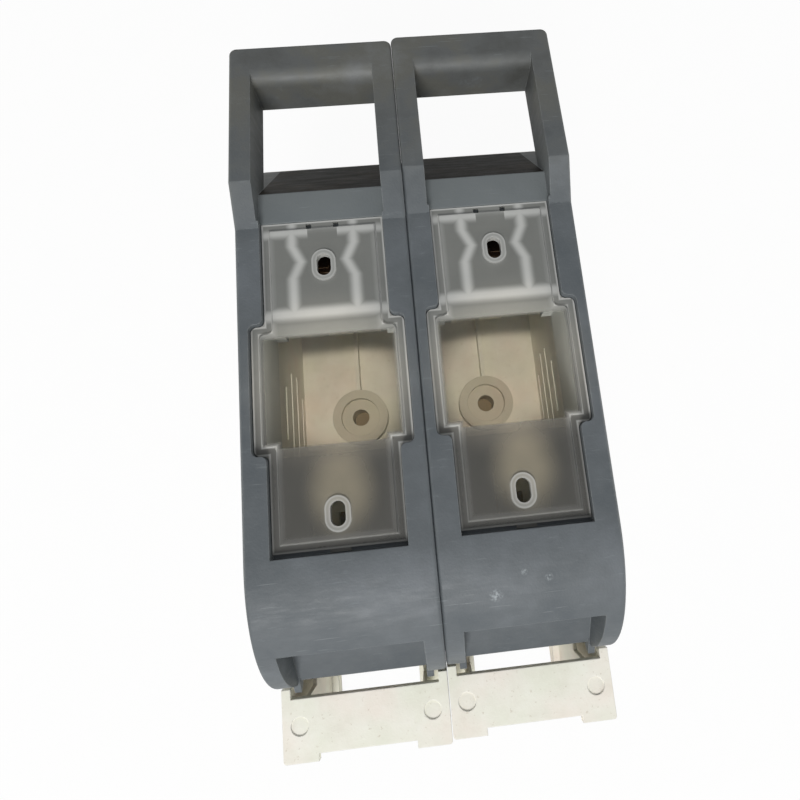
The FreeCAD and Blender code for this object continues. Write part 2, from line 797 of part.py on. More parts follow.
def cover_shell():
    """Dark grey moulded cover: rounded nose, window rails, sloped end, handle loop and fuse well."""
    body = new_body("cover_shell")
    centre_y, centre_z = nose_centre()
    grip_top = front_top + d.grip_rise
    tip_top = front_top + d.tip_rise
    high = d.handle_end
    grip_edge = high - d.bar_width
    slope_run = (d.slope_end - d.body_end) / (front_top - cover_low)
    under = grip_top - d.grip_depth
    arm_root = d.body_end + slope_run * (front_top - under)
    # outline of the whole cover seen from the side
    side = [(-d.nose_end, cover_low, d.nose_radius, -1), (centre_y, rail_top),
            (d.ramp_start, rail_top), (d.ramp_end, grip_top), (high, tip_top),
            (high, tip_top - d.grip_depth), (arm_root, under), (d.slope_end, cover_low)]
    add(body, "outline", "YZ_Plane", -d.cover_half, d.cover_half, side)
    hole = [(d.body_end, front_top), (d.slope_end, cover_low), (grip_edge, cover_low),
            (grip_edge, grip_top + 1), (d.body_end, grip_top + 1)]
    cut(body, "handle_hole", "YZ_Plane", -d.arm_inner, d.arm_inner, hole)
    recess_high = d.window_top + d.window_play
    cut(body, "handle_ledge", "XY_Plane", front_top, grip_top,
        box_loop(-d.arm_inner, d.arm_inner, recess_high, d.body_end))
    cut(body, "window_recess", "XY_Plane", recess_floor, grip_top,
        window_loop(d.window_play, d.window_low_gap))
    dress(body, "recess_corners", "Fillet", d.window_corner, bulge_corner_test(d.window_play))

    # hollow inside, skin all round, leaving the walls of the finger recess
    inner_radius = d.nose_radius - d.skin

    def inner_y(height):
        return centre_y - root(inner_radius * inner_radius - (height - centre_z) * (height - centre_z))

    def inner_z(along):
        return centre_z + root(inner_radius * inner_radius - (along - centre_y) * (along - centre_y))

    recess_back_height = cover_low + d.recess_back_rise
    wall_top = -(d.recess_top - d.skin)
    wall_back = -(d.recess_back - d.skin)
    back_height = recess_back_height - d.skin / 2
    lip = -(d.nose_end - d.recess_lip - d.skin * 1.6)
    slope_skin = d.skin * root(slope_run * slope_run + 1)
    slope_foot = d.slope_end - slope_skin
    slope_head = slope_foot - slope_run * (ceiling - cover_low)
    cavity = [(lip, cover_low), (wall_back, back_height),
              (wall_top, inner_z(wall_top), inner_radius, -1), (inner_y(ceiling), ceiling),
              (slope_head, ceiling), (slope_foot, cover_low)]
    cut(body, "cavity", "YZ_Plane", -cheek_inner, cheek_inner, cavity)
    flank = [(inner_y(cover_low), cover_low, inner_radius, -1), (inner_y(ceiling), ceiling),
             (slope_head, ceiling), (slope_foot, cover_low)]
    for low, far, name in ((cheek_inner, cover_inner, "right"), (-cover_inner, -cheek_inner, "left")):
        cut(body, f"flank_{name}", "YZ_Plane", low, far, flank)
    recess = [(-d.nose_end - 10, cover_low), (-(d.nose_end - d.recess_lip), cover_low),
              (-d.recess_back, recess_back_height), (-d.recess_top, rail_top),
              (-d.nose_end - 10, rail_top)]
    cut(body, "finger_recess", "YZ_Plane", -recess_half, recess_half, recess)
    corner = [(d.cover_half + 1, cover_low - 1), (d.cover_half + 1, cover_low + d.cheek_round),
              (d.cover_half, cover_low + d.cheek_round, d.cheek_round, -1),
              (d.cover_half - d.cheek_round, cover_low), (d.cover_half - d.cheek_round, cover_low - 1)]
    opposite = [(-corner[0][0], corner[0][1]), (-corner[4][0], corner[4][1]),
                (-corner[3][0], corner[3][1], d.cheek_round, -1), (-corner[2][0], corner[2][1]),
                (-corner[1][0], corner[1][1])]
    cheek_end = relief_edge + d.relief_length - 1
    cut(body, "cheek_corners", "XZ_Plane", -d.nose_end - 1, cheek_end, corner, opposite)

    # bosses round the hinge bores, and curved tails that fill the gap at the bridge
    drop = pivot_height - cover_low
    tail_inner = drop + d.tail_inset
    tail_outer = tail_inner + d.tail_width
    first = drop + d.tail_depth
    middle_y = pivot_y - root(tail_inner * tail_inner - drop * drop)
    tail = [(-d.nose_end + d.tail_gap, cover_low + d.tail_bite),
            (pivot_y - root(tail_outer * tail_outer - first * first), pivot_height - first,
             tail_outer, 1),
            (pivot_y - d.pin_radius,
             pivot_height - root(tail_outer * tail_outer - d.pin_radius * d.pin_radius)),
            (pivot_y - d.pin_radius,
             pivot_height - root(tail_inner * tail_inner - d.pin_radius * d.pin_radius), tail_inner, -1),
            (middle_y, cover_low), (middle_y, cover_low + d.tail_bite)]
    tail_low = ear_outer + d.tail_gap
    for low, far, name in ((tail_low, cheek_inner, "right"), (-cheek_inner, -tail_low, "left")):
        add(body, f"tail_{name}", "YZ_Plane", low, far, tail)
    for low, far, name in ((recess_half, cheek_inner, "right"), (-cheek_inner, -recess_half, "left")):
        add(body, f"pin_boss_{name}", "YZ_Plane", low, far, circle(pivot_y, pivot_height, d.pin_boss))

    # fuse well: a square collar that guides the fuse link, under a stepped aperture
    well = box_loop(-d.well_half, d.well_half, -d.well_reach, d.well_reach)
    collar = box_loop(-d.well_half - d.well_wall, d.well_half + d.well_wall,
                      -d.well_reach - d.well_wall, d.well_reach + d.well_wall)
    collar_low = front_top - d.well_depth
    add(body, "well_collar", "XY_Plane", collar_low, ceiling, collar, well)
    cut(body, "well_aperture", "XY_Plane", ceiling, recess_floor,
        cross_loop(d.well_half, d.well_reach_side, d.well_half_end, d.well_reach))
    ends = [box_loop(-d.well_half_end, d.well_half_end, d.well_reach, d.well_reach + d.well_wall),
            box_loop(-d.well_half_end, d.well_half_end, -d.well_reach - d.well_wall, -d.well_reach)]
    cut(body, "blade_gaps", "XY_Plane", collar_low, front_top - d.well_end_depth, *ends)
    probes = [box_loop(-d.high_probe_half, d.high_probe_half, d.high_probe_start, d.high_probe_end),
              box_loop(-d.low_probe_half, d.low_probe_half, -d.low_probe_end, -d.low_probe_start)]
    cut(body, "probe_openings", "XY_Plane", ceiling, recess_floor, *probes)
    pilots = [circle(x, y, d.grip_screw_radius) for x, y in grip_screw_places()]
    cut(body, "grip_pilots", "XY_Plane", ceiling, ceiling + d.seat_plate * 0.7, *pilots)

    # the handle is cored from behind, with webs left across the bar
    core_top = tip_top - d.handle_wall
    core_low = tip_top - d.grip_depth - 1
    arm_low = arm_root + d.handle_wall
    arm = box_loop(d.arm_inner + d.handle_wall, d.cover_half - d.handle_wall, arm_low,
                   grip_edge - d.handle_wall)
    bar_low = grip_edge + d.handle_wall
    bar_high = high - d.handle_wall
    cores = both_sides(arm)
    cells = 4
    pitch = (d.cover_half * 2 - d.handle_wall * 2 + d.grip_web) / cells
    for index in range(cells):
        low = -d.cover_half + d.handle_wall + pitch * index
        cores.append(box_loop(low, low + pitch - d.grip_web, bar_low, bar_high))
    cut(body, "handle_cores", "XY_Plane", core_low, core_top, *cores)

    # blind bores in the cheeks for the hinge pins
    for low, far, name in ((cheek_inner - d.pin_bite, cover_inner + d.pin_bite, "right"),
                           (-cover_inner - d.pin_bite, -cheek_inner + d.pin_bite, "left")):
        cut(body, f"pin_bore_{name}", "YZ_Plane", low, far,
            circle(pivot_y, pivot_height, d.pin_radius + d.pin_play))

    half = d.cover_half.value
    dress(body, "tip_corners", "Fillet", d.tip_round,
          lambda x0, x1, y0, y1, z0, z1: near(x0, x1) and near(abs(x0), half)
          and near(y0, y1) and near(y0, high))
    dress(body, "grip_face", "Fillet", d.grip_round,
          lambda x0, x1, y0, y1, z0, z1: near(y0, grip_edge) and near(y1, grip_edge)
          and near(x0, -d.arm_inner) and near(x1, d.arm_inner) and z0 > core_top.value)
    front = ceiling.value
    dress(body, "long_edges", "Fillet", d.edge_round,
          lambda x0, x1, y0, y1, z0, z1: near(x0, x1) and near(abs(x0), half)
          and y1 - y0 > 5 and z1 > rail_top.value - 0.1 and (z0 > front or y1 < centre_y.value + 1))
    return body


def grip_screw_places():
    middle = (d.grip_plate_start + d.grip_plate_end) / 2
    return [(d.grip_screw_offset * side, middle * end) for end in (1, -1) for side in (1, -1)]


def window():
    """Clear and frosted polycarbonate window with two test probe slots, snapped into the cover."""
    body = new_body("window")
    top = front_top
    panel_top = top + d.panel_rise
    add(body, "flange", "XY_Plane", recess_floor, top, window_loop(as_size(0)))
    dress(body, "flange_corners", "Fillet", d.window_corner, bulge_corner_test(as_size(0)))
    add(body, "panel", "XY_Plane", top, panel_top, window_loop(-d.panel_inset))
    dress(body, "panel_corners", "Fillet", d.window_corner, bulge_corner_test(-d.panel_inset))
    sheet_low = panel_top - d.window_sheet
    cut(body, "panel_hollow", "XY_Plane", recess_floor, sheet_low,
        window_loop(-d.panel_inset - d.window_sheet))
    slots = [slot(0, y, d.slot_width, d.slot_length) for y in (d.probe_along, -d.probe_along)]
    collars = [slot(0, y, d.slot_width + d.collar_width * 2, d.slot_length + d.collar_width * 2)
               for y in (d.probe_along, -d.probe_along)]
    add(body, "collars", "XY_Plane", recess_floor, panel_top + d.collar_rise, *collars)
    cut(body, "test_slots", "XY_Plane", recess_floor, panel_top + d.collar_rise, *slots)

    # stiffening ribs behind the frosted panel: a cross bar and two waisted uprights
    rib_low = sheet_low - d.rib_height
    inner = d.window_half - d.panel_inset - d.window_sheet
    start = d.cross_rib_start
    add(body, "cross_rib", "XY_Plane", rib_low, sheet_low,
        box_loop(-inner, inner, start, start + d.cross_rib_width))
    foot = start + d.cross_rib_width
    waist = d.probe_along + d.collar_width
    head = d.window_top - d.panel_inset - d.window_sheet
    half = d.rib_width / 2
    line = [(d.vase_half, foot), (d.vase_half, waist - d.vase_bend), (d.vase_waist, waist),
            (d.vase_half, waist + d.vase_bend), (d.vase_half, head)]
    upright = [(x + half, y) for x, y in line] + [(x - half, y) for x, y in reversed(line)]
    add(body, "uprights", "XY_Plane", rib_low, sheet_low, *both_sides(upright))
    add(body, "head_ribs", "XY_Plane", rib_low, sheet_low,
        *both_sides(box_loop(d.head_rib_start, inner, head - d.head_rib_width, head + 0.5)))
    dress(body, "panel_rim", "Chamfer", d.panel_rise / 2,
          lambda x0, x1, y0, y1, z0, z1: near(z0, z1) and near(z0, panel_top)
          and max(abs(x0), abs(x1)) > inner.value + 0.5)
    cut(body, "clip_notches", "XY_Plane", recess_floor, panel_top,
        *both_sides(box_loop(d.clip_half, d.clip_half + d.clip_notch,
                             d.window_top - d.clip_notch * 1.6, d.window_top - d.window_flange / 2)))
    tab_low = -(d.window_low + d.window_low_gap)
    add(body, "low_tab", "XY_Plane", recess_floor, top - d.window_flange / 2,
        box_loop(-d.tab_half, d.tab_half, tab_low, -d.window_low + 1))
    return body


def fuse_grip(name, end):
    """Bent steel plate under the cover whose hook holds the fuse link's gripping lug."""
    body = new_body(f"{name}_fuse_grip")
    low, high = span_along(end, d.grip_plate_start, d.grip_plate_end)
    outer = high if end > 0 else low
    sheet_thick = d.grip_plate_sheet
    top = ceiling
    add(body, "plate", "XY_Plane", top - sheet_thick, top,
        box_loop(-d.grip_plate_half, d.grip_plate_half, low, high))
    edge = (outer - sheet_thick * end, outer)
    edge = edge if end > 0 else edge[::-1]
    hooks = both_sides(box_loop(d.grip_hook_gap, d.grip_hook_half, *edge))
    add(body, "legs", "XY_Plane", top - d.grip_hook_drop, top - sheet_thick, *hooks)
    reach = (outer, outer + d.grip_hook_length * end)
    reach = reach if end > 0 else reach[::-1]
    start = (reach[0] - sheet_thick, reach[1]) if end > 0 else (reach[0], reach[1] + sheet_thick)
    tips = both_sides(box_loop(d.grip_hook_gap, d.grip_hook_half, *start))
    add(body, "tips", "XY_Plane", top - d.grip_hook_drop - sheet_thick, top - d.grip_hook_drop, *tips)
    places = [(x, y) for x, y in grip_screw_places() if (y.value > 0) == (end > 0)]
    cut(body, "screw_clearance", "XY_Plane", top - sheet_thick, top,
        *[circle(x, y, d.grip_screw_radius) for x, y in places])
    return body


def grip_screws():
    """Four small screws that hold the fuse grips to the cover."""
    body = new_body("grip_screws")
    low = ceiling - d.grip_plate_sheet
    places = grip_screw_places()
    add(body, "shanks", "XY_Plane", low, ceiling + d.seat_plate * 0.6,
        *[circle(x, y, d.grip_screw_radius) for x, y in places])
    add(body, "heads", "XY_Plane", low - d.grip_screw_radius, low,
        *[circle(x, y, d.grip_screw_head) for x, y in places])
    return body


def place(item, across, along):
    item.setExpression("Placement.Base.x", as_size(across).text)
    item.setExpression("Placement.Base.y", as_size(along).text)


base_housing()
for end_name, end_sign in (("upper", 1), ("lower", -1)):
    terminal_bar(end_name, end_sign)
    contact_jaw(end_name, end_sign)
    jaw_clips(end_name, end_sign)
    arc_chute(end_name, end_sign)
jaw_screws()
terminal_fasteners()
hinge_pins()
cover_shell()
window()
for end_name, end_sign in (("upper", 1), ("lower", -1)):
    fuse_grip(end_name, end_sign)
grip_screws()

# The left unit stands half a pitch to one side, and the right one is its twin.
pitch = d.cover_half * 2 + d.pair_gap
exports = []
for label, item in pieces.items():
    place(item, -pitch / 2, units_shift)
    twin = doc.addObject("Part::Compound", f"right_{label}")
    twin.Label = f"right_{label}"
    twin.Links = [item]
    place(twin, pitch, d.stagger)
    exports += [item, twin]
doc.recompute()

faults = [item.Name for item in doc.Objects if {"Invalid", "Error"} & set(item.State)]
faults += [item.Label for item in exports if item.Shape.isNull() or not item.Shape.isValid()]
if faults:
    raise RuntimeError(f"failed objects: {faults}")

os.makedirs("parts", exist_ok=True)
for item in exports:
    item.Shape.exportStep(f"parts/{item.Label}.step")
print(len(exports), "nodes,", sum(len(item.Shape.Solids) for item in exports), "solids")
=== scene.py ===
import bpy
import math
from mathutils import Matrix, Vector


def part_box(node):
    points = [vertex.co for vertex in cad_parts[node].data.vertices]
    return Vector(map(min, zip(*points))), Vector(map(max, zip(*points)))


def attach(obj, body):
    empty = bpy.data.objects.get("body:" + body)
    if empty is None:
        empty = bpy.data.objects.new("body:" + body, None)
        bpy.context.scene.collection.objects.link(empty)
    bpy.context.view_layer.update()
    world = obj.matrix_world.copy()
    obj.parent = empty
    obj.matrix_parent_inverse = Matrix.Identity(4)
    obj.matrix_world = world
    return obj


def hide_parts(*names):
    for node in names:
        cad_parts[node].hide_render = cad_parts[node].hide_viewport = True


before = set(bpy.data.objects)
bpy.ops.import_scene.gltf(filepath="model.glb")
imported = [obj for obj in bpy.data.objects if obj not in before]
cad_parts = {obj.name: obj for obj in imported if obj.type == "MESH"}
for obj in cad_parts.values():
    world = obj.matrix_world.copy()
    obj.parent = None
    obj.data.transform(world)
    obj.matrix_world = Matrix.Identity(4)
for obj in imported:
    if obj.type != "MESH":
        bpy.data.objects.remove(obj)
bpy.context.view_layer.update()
scene = bpy.context.scene


# Base housings. Compression moulded polyester with glass fibre, dyed cream, thick walled and left as
# it leaves the steel mould: satin, a little pink and green where the paste flowed, and paler along its
# edges, partly rubbed and partly a painted highlight of light catching them. Everything else is fixed in or
# on them.
def linear(code):
    """An sRGB hex colour as the linear colour that a shader takes."""
    parts = [int(code[place:place + 2], 16) / 255 for place in (1, 3, 5)]
    parts = [part / 12.92 if part <= 0.04045 else ((part + 0.055) / 1.055) ** 2.4 for part in parts]
    return (*parts, 1.0)


def node(tree, kind, inputs=None, stops=(), **properties):
    """Add a node, set its properties, and give each input a value or a link from another node."""
    made = tree.nodes.new(kind)
    for name, value in properties.items():
        setattr(made, name, value)
    if stops:
        elements = made.color_ramp.elements
        while len(elements) < len(stops):
            elements.new(1.0)
        for element, (position, code) in zip(elements, stops):
            element.position = position
            element.color = linear(code)
    for name, value in (inputs or {}).items():
        if isinstance(value, bpy.types.NodeSocket):
            tree.links.new(value, made.inputs[name])
        else:
            made.inputs[name].default_value = value
    return made


def new_material(name):
    """A node material with nothing in it yet, its node tree, and object coordinates."""
    material = bpy.data.materials.new(name)
    material.use_nodes = True
    tree = material.node_tree
    tree.nodes.clear()
    return material, tree, node(tree, "ShaderNodeTexCoord").outputs["Object"]


def finish(material, inputs, *names):
    """Close a material with its surface, and give it to CAD nodes in place of their plain one."""
    tree = material.node_tree
    surface = node(tree, "ShaderNodeBsdfPrincipled", inputs)
    node(tree, "ShaderNodeOutputMaterial", {"Surface": surface.outputs["BSDF"]})
    for name in names:
        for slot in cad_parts[name].material_slots:
            slot.material = material


def rounded_edges(tree, radius):
    """A normal that is rounded at the edges, and how near an edge the surface is, from 0 to 1."""
    rounded = node(tree, "ShaderNodeBevel", {"Radius": radius}, samples=4).outputs["Normal"]
    facing = node(tree, "ShaderNodeNewGeometry").outputs["Normal"]
    agreement = node(tree, "ShaderNodeVectorMath", {0: rounded, 1: facing}, operation="DOT_PRODUCT")
    nearness = node(tree, "ShaderNodeMapRange", {"Value": agreement.outputs["Value"], "From Min": 0.995,
                                                 "From Max": 0.86})
    return rounded, nearness.outputs["Result"]


def unit_middle(side):
    """Where the middle of one unit lies on the floor: midway between its two terminal bolts."""
    low_corner, high_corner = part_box(f"{side}_terminal_bolts")
    return (low_corner[0] + high_corner[0]) / 2, (low_corner[1] + high_corner[1]) / 2, 0.0


both = ("left", "right")
cream, tree, place = new_material("cream_polyester_moulding")
flow_size = 0.03
cloud_size = 0.011
# bundles of glass fibre are some 0.3 mm thick, and are drawn coarser so that they show
fleck_size = 0.0016
flow = node(tree, "ShaderNodeTexNoise", {"Vector": place, "Scale": 1 / flow_size, "Detail": 3.0})
flow_tint = node(tree, "ShaderNodeValToRGB", {"Fac": flow.outputs["Fac"]},
                 stops=((0.36, "#e9ebd9"), (0.5, "#efecdf"), (0.64, "#f3e6db")))
cloud = node(tree, "ShaderNodeTexNoise", {"Vector": place, "Scale": 1 / cloud_size, "Detail": 6.0,
                                          "Roughness": 0.65})
cloud_tint = node(tree, "ShaderNodeValToRGB", {"Fac": cloud.outputs["Fac"]},
                  stops=((0.3, "#e4e0d1"), (0.52, "#efecdf"), (0.7, "#f6f4ea")))
tint = node(tree, "ShaderNodeMix", {"Factor": 0.5, "A": flow_tint.outputs["Color"],
                                    "B": cloud_tint.outputs["Color"]}, data_type="RGBA")
fleck = node(tree, "ShaderNodeTexNoise", {"Vector": place, "Scale": 1 / fleck_size, "Detail": 2.0})
fleck_mask = node(tree, "ShaderNodeMapRange", {"Value": fleck.outputs["Fac"], "From Min": 0.66,
                                               "From Max": 0.74, "To Max": 0.35})
flecked = node(tree, "ShaderNodeMix", {"Factor": fleck_mask.outputs["Result"], "A": tint.outputs["Result"],
                                       "B": linear("#b9ab92")}, data_type="RGBA")
housing_edge_radius = 0.0007
rounded, edge = rounded_edges(tree, housing_edge_radius)
edge_share = node(tree, "ShaderNodeMath", {0: edge, 1: 0.7}, operation="MULTIPLY")
# the edges are painted paler: partly wear, partly a painted highlight of light catching them
edge_wear_and_highlight = node(tree, "ShaderNodeMix", {"Factor": edge_share.outputs["Value"], "A": flecked.outputs["Result"],
                                      "B": linear("#f5f4ee")}, data_type="RGBA")
# the top of the fixing boss in the middle of each unit is painted a darker brown: painted shade of the dim
# light deep in the bay
boss_radius = 0.0175
just_over_boss = 0.0205
boss_shade_fade = 0.0004
flat_place = node(tree, "ShaderNodeVectorMath", {0: place, 1: (1.0, 1.0, 0.0)}, operation="MULTIPLY")
reaches = [node(tree, "ShaderNodeVectorMath", {0: flat_place.outputs["Vector"], 1: unit_middle(side)},
                operation="DISTANCE").outputs["Value"] for side in both]
boss_reach = node(tree, "ShaderNodeMath", {0: reaches[0], 1: reaches[1]}, operation="MINIMUM")
on_boss = node(tree, "ShaderNodeMapRange", {"Value": boss_reach.outputs["Value"],
                                            "From Min": boss_radius + boss_shade_fade,
                                            "From Max": boss_radius - boss_shade_fade, "To Max": 0.38})
height = node(tree, "ShaderNodeSeparateXYZ", {"Vector": place}).outputs["Z"]
on_floor = node(tree, "ShaderNodeMath", {0: height, 1: just_over_boss}, operation="LESS_THAN")
shaded_boss_top = node(tree, "ShaderNodeMath", {0: on_boss.outputs["Result"], 1: on_floor.outputs["Value"]},
               operation="MULTIPLY")
boss_shaded = node(tree, "ShaderNodeMix", {"Factor": shaded_boss_top.outputs["Value"], "A": edge_wear_and_highlight.outputs["Result"],
                                       "B": linear("#94845f")}, data_type="RGBA")
ripple = node(tree, "ShaderNodeBump", {"Height": cloud.outputs["Fac"], "Strength": 0.10, "Distance": 0.002,
                                       "Normal": rounded})
grain = node(tree, "ShaderNodeBump", {"Height": fleck.outputs["Fac"], "Strength": 0.16, "Distance": 0.0003,
                                      "Normal": ripple.outputs["Normal"]})
sheen = node(tree, "ShaderNodeMapRange", {"Value": cloud.outputs["Fac"], "From Min": 0.3, "From Max": 0.7,
                                          "To Min": 0.42, "To Max": 0.58})
finish(cream, {"Base Color": boss_shaded.outputs["Result"], "Roughness": sheen.outputs["Result"],
               "Normal": grain.outputs["Normal"]}, *[f"{side}_base_housing" for side in both])

# Terminal bars and contact jaws. Drawn copper bar and folded copper sheet, silvered all over, screwed
# down on the seats of the housing. The silver has gone straw yellow in the air of the switch room, and
# copper shows through where fuse blades have rubbed.
silvered, tree, place = new_material("silvered_copper_with_tarnish")
tarnish_size = 0.009
# the lines that drawing leaves are finer than 0.1 mm, and are drawn coarser so that they show
draw_length = 0.03
draw_width = 0.0005
stretch = node(tree, "ShaderNodeMapping", {"Vector": place,
                                           "Scale": (1 / draw_width, 1 / draw_length, 1 / draw_width)})
lines = node(tree, "ShaderNodeTexNoise", {"Vector": stretch.outputs["Vector"], "Scale": 1.0, "Detail": 2.0})
tarnish = node(tree, "ShaderNodeTexNoise", {"Vector": place, "Scale": 1 / tarnish_size, "Detail": 6.0,
                                            "Roughness": 0.7})
tone = node(tree, "ShaderNodeValToRGB", {"Fac": tarnish.outputs["Fac"]},
            stops=((0.34, "#d9d7d2"), (0.5, "#cfc8b4"), (0.62, "#b79c6c"), (0.74, "#8a6a48")))
dulled = node(tree, "ShaderNodeMapRange", {"Value": tarnish.outputs["Fac"], "From Min": 0.35,
                                           "From Max": 0.7, "To Min": 0.28, "To Max": 0.55})
scored = node(tree, "ShaderNodeBump", {"Height": lines.outputs["Fac"], "Strength": 0.2, "Distance": 0.0001})
finish(silvered, {"Base Color": tone.outputs["Color"], "Metallic": 1.0,
                  "Roughness": dulled.outputs["Result"], "Normal": scored.outputs["Normal"]},
       *[f"{side}_{end}_{piece}" for side in both for end in ("upper", "lower")
         for piece in ("terminal_bar", "jaw")])

# Terminal fasteners. M10 steel bolts with their hexagons caught in pockets under each bar, with a plain
# washer, a split spring washer and a chamfered nut on top. All are zinc plated and passivated with a
# faint blue and yellow bloom.
zinc, tree, place = new_material("blue_passivated_zinc")
bloom_size = 0.006
bloom = node(tree, "ShaderNodeTexNoise", {"Vector": place, "Scale": 1 / bloom_size, "Detail": 5.0})
tone = node(tree, "ShaderNodeValToRGB", {"Fac": bloom.outputs["Fac"]},
            stops=((0.32, "#b9c0c8"), (0.5, "#c8c9c6"), (0.66, "#cdc6ae"), (0.78, "#a39a83")))
dulled = node(tree, "ShaderNodeMapRange", {"Value": bloom.outputs["Fac"], "From Min": 0.3, "From Max": 0.75,
                                           "To Min": 0.3, "To Max": 0.5})
pitted = node(tree, "ShaderNodeBump", {"Height": bloom.outputs["Fac"], "Strength": 0.12, "Distance": 0.0004})
finish(zinc, {"Base Color": tone.outputs["Color"], "Metallic": 1.0, "Roughness": dulled.outputs["Result"],
              "Normal": pitted.outputs["Normal"]},
       *[f"{side}_{piece}" for side in both for piece in ("terminal_washers", "jaw_screws", "grip_screws")])


def add_piece(name, points, faces, body, material, replaced):
    """A mesh piece that stands for one CAD node and rides on its body."""
    mesh = bpy.data.meshes.new(name)
    mesh.from_pydata(points, [], faces)
    mesh.materials.append(material)
    mesh.validate()
    piece = bpy.data.objects.new(name, mesh)
    scene.collection.objects.link(piece)
    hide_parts(replaced)
    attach(piece, body)


def turned(places, around, rings, hollow):
    """Points and faces of a form turned about an upright axis at each place.

    A ring is a height and a radius, and the radius may be a function of the angle. A hollow form closes
    from its last ring to its first, and any other one is capped."""
    points = []
    faces = []
    for across, along in places:
        first = len(points)
        for height, radius in rings:
            for step in range(around):
                angle = math.tau * step / around
                reach = radius(angle) if callable(radius) else radius
                points.append((across + reach * math.cos(angle), along + reach * math.sin(angle), height))
        for index in range(len(rings) if hollow else len(rings) - 1):
            low = first + index * around
            high = first + (index + 1) % len(rings) * around
            for step in range(around):
                after = (step + 1) % around
                faces.append((low + step, low + after, high + after, high + step))
        if not hollow:
            faces.append(tuple(reversed(range(first, first + around))))
            faces.append(tuple(range(len(points) - around, len(points))))
    return points, faces


def hexagon(flats, limit=math.inf):
    """Radius of a hexagon with flats across X, cut off at a limit as its chamfer does."""
    def radius(angle):
        turn = (angle + math.pi / 6) % (math.pi / 3) - math.pi / 6
        return min(flats / 2 / math.cos(turn), limit)
    return radius


thread_radius = 0.005
thread_pitch = 0.0015
thread_depth = 0.00085
flats = 0.017
chamfer_radius = 0.0086
chamfer = 0.0006
bore = thread_radius + 0.00005
sink = 0.0006
around = 24
levels_in_turn = 6


def thread(height):
    """Radius of the bolt's thread at one height, as a function of the angle."""
    def radius(angle):
        phase = (height / thread_pitch - angle / math.tau) % 1.0
        return thread_radius - thread_depth * (1 - abs(2 * phase - 1))
    return radius


# a spring washer is one turn of square wire, cut through, with its two ends sprung apart in height
washer_inner_radius = thread_radius + 0.0003
washer_outer_radius = 0.0088
washer_cut = math.radians(9)
washer_steps = 36
wire_share = 0.82

for side in both:
    low_corner, high_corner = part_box(f"{side}_terminal_bolts")
    bottom, top = low_corner[2], high_corner[2]
    middle = (low_corner[0] + high_corner[0]) / 2
    nut_low, nut_high = (corner[2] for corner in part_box(f"{side}_terminal_nuts"))
    lock_low, lock_high = (corner[2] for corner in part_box(f"{side}_terminal_lock_washers"))
    head_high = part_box(f"{side}_upper_terminal_bar")[0][2]
    half_head = flats / math.sqrt(3)
    places = [(middle, low_corner[1] + half_head), (middle, high_corner[1] - half_head)]

    rings = [(bottom, hexagon(flats, chamfer_radius)), (bottom + chamfer, hexagon(flats)),
             (head_high, hexagon(flats)), (head_high, thread_radius),
             (nut_low - thread_pitch, thread_radius)]
    level = nut_low - thread_pitch
    while level < top - thread_pitch:
        level += thread_pitch / levels_in_turn
        rings.append((level, thread(level)))
    rings.append((top, thread_radius - thread_depth))
    points, faces = turned(places, around, rings, hollow=False)
    add_piece(f"{side}_threaded_bolts", points, faces, "bases", zinc, f"{side}_terminal_bolts")

    rings = [(nut_low, hexagon(flats, chamfer_radius)), (nut_low + chamfer, hexagon(flats)),
             (nut_high - chamfer, hexagon(flats)), (nut_high, hexagon(flats, chamfer_radius)),
             (nut_high, bore + sink), (nut_high - sink, bore),
             (nut_low + sink, bore), (nut_low, bore + sink)]
    points, faces = turned(places, around, rings, hollow=True)
    add_piece(f"{side}_chamfered_nuts", points, faces, "bases", zinc, f"{side}_terminal_nuts")

    points = []
    faces = []
    wire = (lock_high - lock_low) * wire_share
    spring = lock_high - lock_low - wire
    for across, along in places:
        first = len(points)
        for step in range(washer_steps + 1):
            share = step / washer_steps
            angle = washer_cut / 2 + share * (math.tau - washer_cut)
            low = lock_low + spring * share
            for radius, height in ((washer_inner_radius, low), (washer_outer_radius, low),
                                   (washer_outer_radius, low + wire), (washer_inner_radius, low + wire)):
                points.append((across + radius * math.cos(angle), along + radius * math.sin(angle), height))
        for step in range(washer_steps):
            near_end = first + step * 4
            for corner in range(4):
                after = (corner + 1) % 4
                faces.append((near_end + corner, near_end + after, near_end + 4 + after,
                              near_end + 4 + corner))
        faces.append((first + 3, first + 2, first + 1, first))
        last = first + washer_steps * 4
        faces.append((last, last + 1, last + 2, last + 3))
    add_piece(f"{side}_spring_washers", points, faces, "bases", zinc,
              f"{side}_terminal_lock_washers")

# Jaw clips and fuse grips. Hardened spring steel strip, stamped and bent, blued by its tempering and
# thinly oiled. The clips squeeze the jaws, and the grips are screwed under the cover's seat plate.
spring_steel, tree, place = new_material("blued_spring_steel")
temper_size = 0.007
temper = node(tree, "ShaderNodeTexNoise", {"Vector": place, "Scale": 1 / temper_size, "Detail": 4.0})
tone = node(tree, "ShaderNodeValToRGB", {"Fac": temper.outputs["Fac"]},
            stops=((0.32, "#5d6673"), (0.5, "#84878b"), (0.64, "#8d8270"), (0.78, "#5f4f42")))
